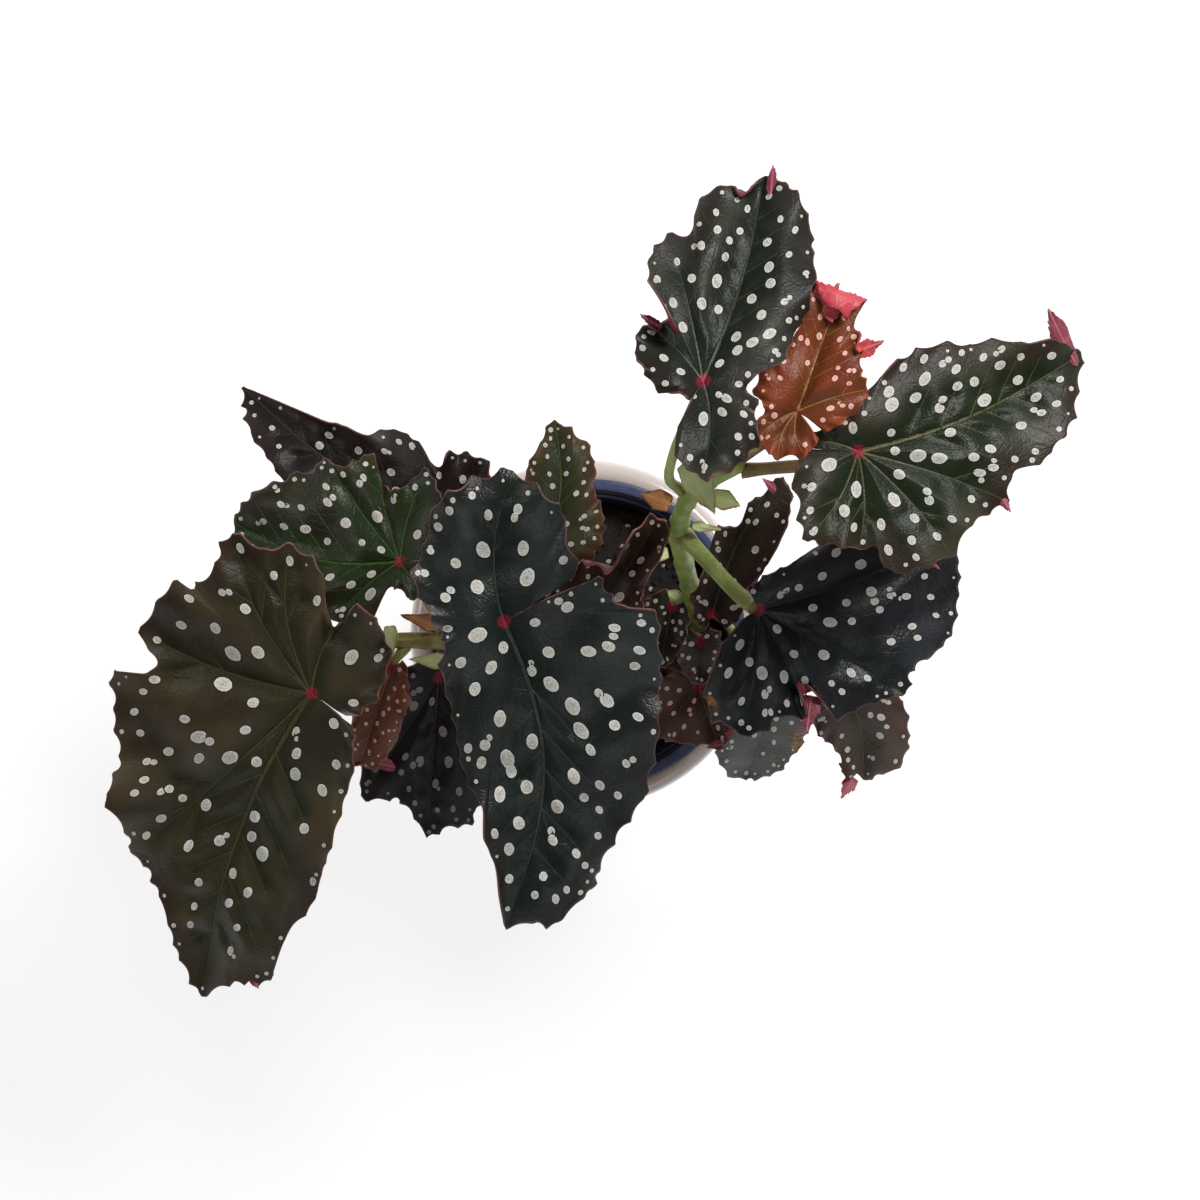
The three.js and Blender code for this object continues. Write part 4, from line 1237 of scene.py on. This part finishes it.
# The flat face that a face belongs to, as the corners round it
def flatPatch(face, seen):
    patch = [face]
    seen.add(face)
    for member in patch:
        for edge in member.edges:
            for other in edge.link_faces:
                if other not in seen and other.normal.dot(face.normal) > stemMake["flatness"]:
                    seen.add(other)
                    patch.append(other)
    return {vert for member in patch for vert in member.verts}


# The middle and radius of each ring of a stem's node, from its lower end to its upper one. The
# walk starts at the lower cap, which is the flat patch whose corners are all as far from its middle
def stemRings(node):
    bm = bmesh.new()
    bm.from_mesh(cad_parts[node].data)
    bmesh.ops.remove_doubles(bm, verts=bm.verts, dist=1e-5)
    sides = stemMake["caneSides"] if node.startswith("cane") else stemMake["petioleSides"]
    caps = []
    seenFaces = set()
    for face in bm.faces:
        if face in seenFaces:
            continue
        corners = flatPatch(face, seenFaces)
        if len(corners) != sides:
            continue
        places = np.array([vert.co for vert in corners])
        reach = np.linalg.norm(places - places.mean(0), axis=1)
        if reach.max() < reach.min() * 1.15:
            caps.append((places[:, 2].mean(), corners))
    ring = min(caps, key=lambda cap: cap[0])[1]
    seen = set()
    rings = []
    while ring:
        places = np.array([vert.co for vert in ring]) / mm
        middle = places.mean(0)
        rings.append((*middle, np.linalg.norm(places - middle, axis=1).mean()))
        seen |= ring
        ring = {edge.other_vert(vert) for vert in ring for edge in vert.link_edges} - seen
    bm.free()
    return np.array(rings)


def lengthened(rings, before, after):
    first = rings[0, :3] - rings[1, :3]
    last = rings[-1, :3] - rings[-2, :3]
    start = rings[0].copy()
    start[:3] += first / np.linalg.norm(first) * before
    end = rings[-1].copy()
    end[:3] += last / np.linalg.norm(last) * after
    return np.vstack([start, rings, end])


def smoothLine(rings, step):
    gaps = np.linalg.norm(np.diff(rings[:, :3], axis=0), axis=1)
    travelled = np.concatenate([[0], np.cumsum(gaps)])
    slope = np.gradient(rings, travelled, axis=0)
    stations = np.linspace(0, travelled[-1], max(8, int(travelled[-1] / step)))
    index = np.searchsorted(travelled, stations, side="right") - 1
    index = np.clip(index, 0, len(rings) - 2)
    span = (travelled[index + 1] - travelled[index])[:, None]
    t = (stations - travelled[index])[:, None] / span
    line = cubic(t, rings[index], span * slope[index], rings[index + 1], span * slope[index + 1])
    return line, stations


def stemSkin(name, look):
    finish, tree, shader = newFinish(name)
    along = addNode(tree, "ShaderNodeMapping", {"Vector": objectPlace(tree), "Scale": (1, 1, 0.22)})
    streaks = grain(tree, 620, 3, 0.6, along.outputs["Vector"])
    mottle = fade(tree, grain(tree, 95, 4, 0.6), 0.35, 0.68)
    colour = blendColours(tree, mottle, paint(*look["dark"]), paint(*look["light"]))
    colour = tint(tree, colour, fade(tree, streaks, 0.45, 0.75), 0.4, look["streak"])
    flecks = fade(tree, cells(tree, 520), 0.19, 0.08)
    colour = tint(tree, colour, flecks, 0.6, look["fleck"])
    nearEnd = fade(tree, attribute(tree, "toEnd"), 9, 1)
    colour = tint(tree, colour, nearEnd, look["blush"], (118, 38, 40))
    foot = fade(tree, attribute(tree, "away"), 14, 1)
    colour = tint(tree, colour, foot, 0.45, (92, 62, 36))
    relief = calc(tree, "MULTIPLY_ADD", flecks, 0.35, calc(tree, "MULTIPLY", streaks, 0.5))
    roughness = calc(tree, "MULTIPLY_ADD", grain(tree, 140), 0.24, 0.36)
    connect(tree, shader, colour, roughness, relief, 0.5, 0.4 * mm)
    return finish


stemLooks = {
    "cane": {"dark": (92, 88, 34), "light": (128, 120, 54), "streak": (150, 132, 74),
             "fleck": (176, 164, 112), "blush": 0.0},
    "caneUpper": {"dark": (112, 138, 52), "light": (144, 166, 78), "streak": (96, 112, 40),
                  "fleck": (186, 196, 134), "blush": 0.0},
    "petiole": {"dark": (124, 142, 66), "light": (158, 172, 94), "streak": (112, 124, 52),
                "fleck": (204, 204, 150), "blush": 0.6},
    "olive": {"dark": (96, 84, 40), "light": (128, 112, 58), "streak": (112, 70, 44),
              "fleck": (172, 150, 104), "blush": 0.6},
    "redStem": {"dark": (96, 58, 38), "light": (132, 84, 54), "streak": (120, 44, 40),
                "fleck": (184, 140, 112), "blush": 0.7},
}
stemFinishes = {kind: stemSkin("stem_" + kind, look) for kind, look in stemLooks.items()}
# Any stem that isn't named here is a plain green petiole
stemKinds = {
    "cane_right": "caneUpper", "cane_left": "cane", "cane_middle": "cane",
    "petiole_right_upper": "olive", "petiole_young_orange": "olive",
    "petiole_back_left": "redStem", "petiole_inner_brown": "redStem",
    "petiole_hooked_brown": "redStem", "petiole_low_inner": "redStem",
    "petiole_low_grey": "redStem", "petiole_left_low": "redStem",
    "petiole_front_taupe": "redStem",
}


def swelling(distance, kind):
    height, reach = stemMake[kind]
    return 1 + height * np.exp(-(distance / reach) ** 2)


# A stem follows its node's middle line. It swells at both ends, and canes swell in rings at nodes
def growStem(node, seed):
    random = np.random.default_rng(seed)
    isCane = node.startswith("cane")
    rings = stemRings(node)
    rooted = rings[0, 2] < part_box("soil")[1].z / mm + 2
    before = stemMake["rootDepth"] if rooted else stemMake["intoCane"]
    after = stemMake["caneTip"] if isCane else stemMake["intoBlade"]
    line, stations = smoothLine(lengthened(rings, before, after), stemMake["step"])
    total = stations[-1]
    radius = line[:, 3] * swelling(stations, "footSwell")
    if isCane:
        gap, tip = stemMake["nodeGap"], stemMake["caneTip"]
        nearest = np.abs((stations - stemMake["firstNode"] + gap / 2) % gap - gap / 2)
        radius *= swelling(nearest, "nodeSwell")
        narrowing = np.clip((stations - total + tip) / tip, 0, 1) ** 2
        radius *= 1 - stemMake["tipNarrowing"] * narrowing
    else:
        radius *= swelling(total - stations, "bladeSwell")
    radius *= 1 + 0.03 * np.sin(stations / 5 + random.uniform(0, 6))
    heading = np.gradient(line[:, :3], axis=0)
    heading /= np.linalg.norm(heading, axis=1)[:, None]
    side = np.cross(heading[0], (0.31, 0.87, 0.12))  # any direction that no stem runs along
    sides = []
    for direction in heading:
        side = side - direction * (side @ direction)
        side = side / np.linalg.norm(side)
        sides.append(side)
    across = np.cross(heading, sides)

    bm = bmesh.new()
    bmesh.ops.create_grid(bm, x_segments=stemMake["sides"], y_segments=len(line) - 1, size=1)
    awayLayer = bm.verts.layers.float.new("away")
    endLayer = bm.verts.layers.float.new("toEnd")
    phase = random.uniform(0, 6)
    for vert in bm.verts:
        row = int(round((vert.co.y + 1) / 2 * (len(line) - 1)))
        turn = (vert.co.x + 1) * math.pi
        wide = radius[row] * (1 + 0.035 * math.sin(3 * turn + phase))
        spot = line[row, :3] + wide * (math.cos(turn) * sides[row] + math.sin(turn) * across[row])
        vert[awayLayer] = stations[row]
        vert[endLayer] = total - stations[row]
        vert.co = spot * mm
    bmesh.ops.remove_doubles(bm, verts=bm.verts, dist=1e-6)
    openEdges = [edge for edge in bm.edges if edge.is_boundary]
    bmesh.ops.holes_fill(bm, edges=openEdges, sides=0)
    bmesh.ops.recalc_face_normals(bm, faces=bm.faces)
    mesh = meshFrom(bm, "mesh_" + node)
    addPiece("stem_" + node, mesh, node, [stemFinishes[stemKinds.get(node, "petiole")]])


stemNodes = [node for node in sorted(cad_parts) if node.startswith(("cane_", "petiole_"))]
for stemNumber, stemNode in enumerate(stemNodes):
    growStem(stemNode, stemMake["firstSeed"] + stemNumber)
print("stems grown")


# Cuts each corner of a profile a few times over, so that it turns through a small arc
def rounded(points, passes=3, share=0.22):
    line = np.array(points, float)
    for step in range(passes):
        first = line[:-1] * (1 - share) + line[1:] * share
        second = line[:-1] * share + line[1:] * (1 - share)
        line = np.vstack([line[:1], np.stack([first, second], 1).reshape(-1, 2), line[-1:]])
    return line


def turnProfile(name, profile, shift, steps=144):
    bm = bmesh.new()
    verts = [bm.verts.new((radius * mm, 0, height * mm)) for radius, height in profile]
    edges = [bm.edges.new(pair) for pair in zip(verts[:-1], verts[1:])]
    bmesh.ops.spin(bm, geom=verts + edges, cent=(0, 0, 0), axis=(0, 0, 1), angle=2 * math.pi,
                   steps=steps, use_merge=True)
    bmesh.ops.remove_doubles(bm, verts=bm.verts, dist=1e-6)
    bmesh.ops.recalc_face_normals(bm, faces=bm.faces)
    bmesh.ops.translate(bm, verts=bm.verts, vec=shift)
    return meshFrom(bm, name)


potLow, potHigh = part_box("ceramic_pot")
potTop = potHigh.z / mm
potRadius = (potHigh.x - potLow.x) / 2 / mm
pot = {"baseInset": 20, "foot": 2.2, "mouthInset": 11.5, "floor": 7, "wall": 8}
potBase = potRadius - pot["baseInset"]
potMouth = potRadius - pot["mouthInset"]


def glazeFinish():
    finish, tree, shader = newFinish("cream_glaze")
    place = objectPlace(tree)
    rings = addNode(tree, "ShaderNodeMapping", {"Vector": place, "Scale": (0.15, 0.15, 1)})
    throwing = grain(tree, 95, 2, 0.5, rings.outputs["Vector"])
    pooled = fade(tree, grain(tree, 26, 4), 0.35, 0.7)
    colour = blendColours(tree, pooled, paint(214, 204, 198), paint(232, 224, 218))
    colour = tint(tree, colour, fade(tree, cells(tree, 330), 0.11, 0.04), 0.4, (128, 98, 76))
    height = addNode(tree, "ShaderNodeSeparateXYZ", {"Vector": place}).outputs["Z"]
    thin = fade(tree, height, (potTop - 1.8) * mm, (potTop - 0.3) * mm)
    colour = tint(tree, colour, thin, 0.3, (186, 166, 152))
    bare = fade(tree, height, pot["foot"] * mm, pot["foot"] * mm * 0.5)
    colour = blendColours(tree, bare, colour, paint(176, 148, 122))
    ripple = calc(tree, "MULTIPLY", throwing, 0.9)
    relief = calc(tree, "MULTIPLY_ADD", grain(tree, 420), 0.12, ripple)
    smooth = calc(tree, "MULTIPLY_ADD", pooled, 0.1, 0.16)
    roughness = calc(tree, "MULTIPLY_ADD", bare, 0.5, smooth)
    connect(tree, shader, colour, roughness, relief, 0.35, 0.7 * mm)
    shader.inputs["Coat Weight"].default_value = 0.5
    shader.inputs["Coat Roughness"].default_value = 0.08
    return finish


potProfile = rounded([
    (0, 1.4), (potBase - 9, 1.4), (potBase - 7, 0), (potBase - 1, 0), (potBase + 3, 3),
    (potBase + 8, potTop * 0.22), (potBase + 12, potTop * 0.4), (potRadius - 4.5, potTop * 0.62),
    (potRadius - 2, potTop - 28), (potRadius, potTop - 8), (potRadius - 1.2, potTop - 2.4),
    (potRadius - 4.6, potTop), (potRadius - 8.4, potTop - 0.6), (potMouth, potTop - 4),
    (potMouth, potTop - 30), (potMouth - 5, potTop * 0.55), (potMouth - 10, potTop * 0.35),
    (potBase - pot["wall"] + 2, pot["floor"] + 3), (potBase - pot["wall"], pot["floor"]),
    (0, pot["floor"]),
])
potMesh = turnProfile("glazed_pot", potProfile, (0, 0, 0))
addPiece("glazed_pot", potMesh, "ceramic_pot", [glazeFinish()])

linerLow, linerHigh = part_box("grow_pot")
linerShift = ((linerLow.x + linerHigh.x) / 2, 0, 0)
linerTop = linerHigh.z / mm
linerFloor = linerLow.z / mm
linerLip = (linerHigh.x - linerLow.x) / 2 / mm
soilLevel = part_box("soil")[1].z / mm
liner = {"wall": 1.7, "mouthInset": 8.9, "baseInset": 21.9, "lipInset": 4.5, "lip": 1.6}
linerMouth = linerLip - liner["mouthInset"]
linerBase = linerLip - liner["baseInset"]


def plasticFinish():
    finish, tree, shader = newFinish("navy_plastic")
    place = objectPlace(tree)
    height = addNode(tree, "ShaderNodeSeparateXYZ", {"Vector": place}).outputs["Z"]
    colour = blendColours(tree, grain(tree, 60, 4), paint(13, 18, 38), paint(24, 32, 58))
    # A painted highlight: the top of the lip is painted a lighter blue where the light catches it
    lip = fade(tree, height, (linerTop - liner["lip"]) * mm, (linerTop - 0.2) * mm)
    paintedLipHighlight = blendColours(tree, grain(tree, 160, 4), paint(44, 54, 84), paint(76, 88, 118))
    colour = blendColours(tree, lip, colour, paintedLipHighlight)
    dust = fade(tree, grain(tree, 300, 5, 0.7), 0.55, 0.8)
    colour = tint(tree, colour, dust, 0.3, (96, 84, 72))
    upright = addNode(tree, "ShaderNodeMapping", {"Vector": place, "Scale": (1, 1, 0.1)})
    scuffs = fade(tree, grain(tree, 800, 2, 0.5, upright.outputs["Vector"]), 0.62, 0.75)
    dull = calc(tree, "MULTIPLY_ADD", dust, 0.3, 0.32)
    roughness = calc(tree, "MULTIPLY_ADD", scuffs, 0.2, dull)
    fine = calc(tree, "MULTIPLY", grain(tree, 1500), 0.3)
    relief = calc(tree, "MULTIPLY_ADD", scuffs, 0.3, fine)
    connect(tree, shader, colour, roughness, relief, 0.4, 0.2 * mm)
    return finish


linerRise = (linerTop - soilLevel) / 4
linerInside = linerLip - liner["lipInset"]
linerProfile = rounded([
    (0, linerFloor), (linerBase, linerFloor), (linerBase + 1, linerFloor + 2),
    (linerMouth + liner["wall"], soilLevel),
    (linerMouth + liner["wall"] + 0.5, linerTop - liner["lip"]),
    (linerLip, linerTop - liner["lip"]), (linerLip, linerTop), (linerInside, linerTop),
    (linerInside - 0.7, linerTop - 3), (linerMouth + 1.6, linerTop - 4),
    (linerMouth + 1.1, linerTop - 5), (linerMouth + 0.6, linerTop - 8),
    (linerMouth + 0.6, soilLevel + linerRise), (linerMouth + 0.1, soilLevel + linerRise - 0.7),
    (linerMouth, soilLevel), (linerBase - liner["wall"], linerFloor + liner["wall"]),
    (0, linerFloor + liner["wall"]),
], 3, 0.2)
linerMesh = turnProfile("plastic_liner", linerProfile, linerShift)
addPiece("plastic_liner", linerMesh, "grow_pot", [plasticFinish()])
print("pots turned")

# Sizes in mm: how far the soil stays clear of the liner, and where its edge and middle lie
soilMake = {
    "seed": 7, "wave": 2.2, "sideGap": 0.9, "floorGap": 0.4, "edgeDrop": 3, "drop": 1.6,
    "rings": 34, "steps": 120, "grainDrop": 1.3, "grainInset": 3,
}
soilGrains = {
    "crumbs": {"count": 620, "size": (0.7, 2.2), "flat": 0.75, "cuts": 1, "name": "crumb_dark",
               "dark": (12, 9, 7), "light": (46, 35, 25), "roughness": 0.92},
    "perlite": {"count": 46, "size": (0.8, 1.6), "flat": 0.8, "cuts": 2, "name": "perlite_pale",
                "dark": (150, 144, 132), "light": (206, 202, 192), "roughness": 0.8},
    "bark": {"count": 60, "size": (1.6, 3.4), "flat": 0.35, "cuts": 2, "name": "bark_brown",
             "dark": (36, 23, 14), "light": (84, 56, 34), "roughness": 0.8},
}


def earthFinish(name, dark, light, roughness, scale=480):
    finish, tree, shader = newFinish(name)
    mix = fade(tree, grain(tree, scale, 6, 0.7), 0.35, 0.7)
    colour = blendColours(tree, mix, paint(*dark), paint(*light))
    fibre = fade(tree, cells(tree, scale * 2, "DISTANCE_TO_EDGE"), 0.12, 0)
    colour = tint(tree, colour, fibre, 0.4, light)
    relief = calc(tree, "MULTIPLY_ADD", fibre, 0.5, grain(tree, scale * 1.4, 6, 0.75))
    wet = calc(tree, "MULTIPLY_ADD", grain(tree, scale / 6), -0.3, roughness + 0.1)
    connect(tree, shader, colour, wet, relief, 0.9, 0.8 * mm)
    return finish


soilSide = linerMouth - soilMake["sideGap"]


def growSoil():
    floor = linerFloor + liner["wall"] + soilMake["floorGap"]
    low = soilLevel - soilMake["edgeDrop"]
    top = soilLevel - soilMake["drop"]
    rings = soilMake["rings"]
    profile = [(0, floor), (linerBase - 3, floor), (soilSide, low)]
    profile += [(soilSide * (1 - step / rings), top) for step in range(1, rings)] + [(0, top)]
    mesh = turnProfile("earth", profile, linerShift, soilMake["steps"])
    places = meshArrays(mesh)[0]
    for index in np.nonzero(places[:, 2] > (low + 0.5) * mm)[0]:
        spot = Vector(places[index] / mm)
        rough = 1.1 * noise.fractal(spot / 7, 0.8, 2.1, 5) + 0.9 * noise.noise(spot / 2.2)
        places[index, 2] += rough * mm * soilMake["wave"] / 2
    mesh.vertices.foreach_set("co", places.ravel())
    finish = earthFinish("soil_dark", (10, 8, 6), (36, 28, 20), 0.92)
    addPiece("potting_soil", mesh, "soil", [finish])


# One grain of soil, perlite or bark: a lumpy ball, flattened and turned, lying on the soil
def dropGrain(bm, setting, random):
    turn = random.uniform(0, 2 * math.pi)
    reach = math.sqrt(random.random()) * (soilSide - soilMake["grainInset"])
    size = random.uniform(*setting["size"])
    made = bmesh.ops.create_icosphere(bm, subdivisions=setting["cuts"], radius=1)["verts"]
    stretch = Vector((size, size * random.uniform(0.5, 0.9), size * setting["flat"]))
    spin = random.uniform(0, math.pi)
    offset = Vector((random.uniform(0, 90), 0, 0))
    height = soilLevel - soilMake["grainDrop"]
    for vert in made:
        bump = 1 + 0.3 * noise.noise(vert.co * 1.4 + offset)
        x, y = vert.co.x * stretch.x * bump, vert.co.y * stretch.y * bump
        vert.co = (
            linerShift[0] + (math.cos(turn) * reach + x * math.cos(spin) - y * math.sin(spin)) * mm,
            (math.sin(turn) * reach + x * math.sin(spin) + y * math.cos(spin)) * mm,
            (height + vert.co.z * stretch.z * bump) * mm)


growSoil()
soilRandom = np.random.default_rng(soilMake["seed"])
for grainKind, grainSetting in soilGrains.items():
    grainBm = bmesh.new()
    for grainNumber in range(grainSetting["count"]):
        dropGrain(grainBm, grainSetting, soilRandom)
    grainLook = [grainSetting[key] for key in ("name", "dark", "light", "roughness")]
    grainMesh = meshFrom(grainBm, "soil_" + grainKind)
    addPiece("soil_" + grainKind, grainMesh, "soil", [earthFinish(*grainLook)])
print("soil filled")

# A plain pale floor. It glows a little, which keeps the shadows on it faint
floorFinish, floorShader = newFinish("floor_white")[::2]
floorShader.inputs["Base Color"].default_value = (0.4, 0.4, 0.4, 1)
floorShader.inputs["Emission Color"].default_value = (1, 1, 1, 1)
floorShader.inputs["Emission Strength"].default_value = studio["floorGlow"]
floorBm = bmesh.new()
bmesh.ops.create_grid(floorBm, x_segments=1, y_segments=1, size=studio["floorSize"] / 2)
floorMesh = meshFrom(floorBm, "floor")
floorMesh.materials.append(floorFinish)
floor = bpy.data.objects.new("floor", floorMesh)
bpy.context.scene.collection.objects.link(floor)
print("floor laid")
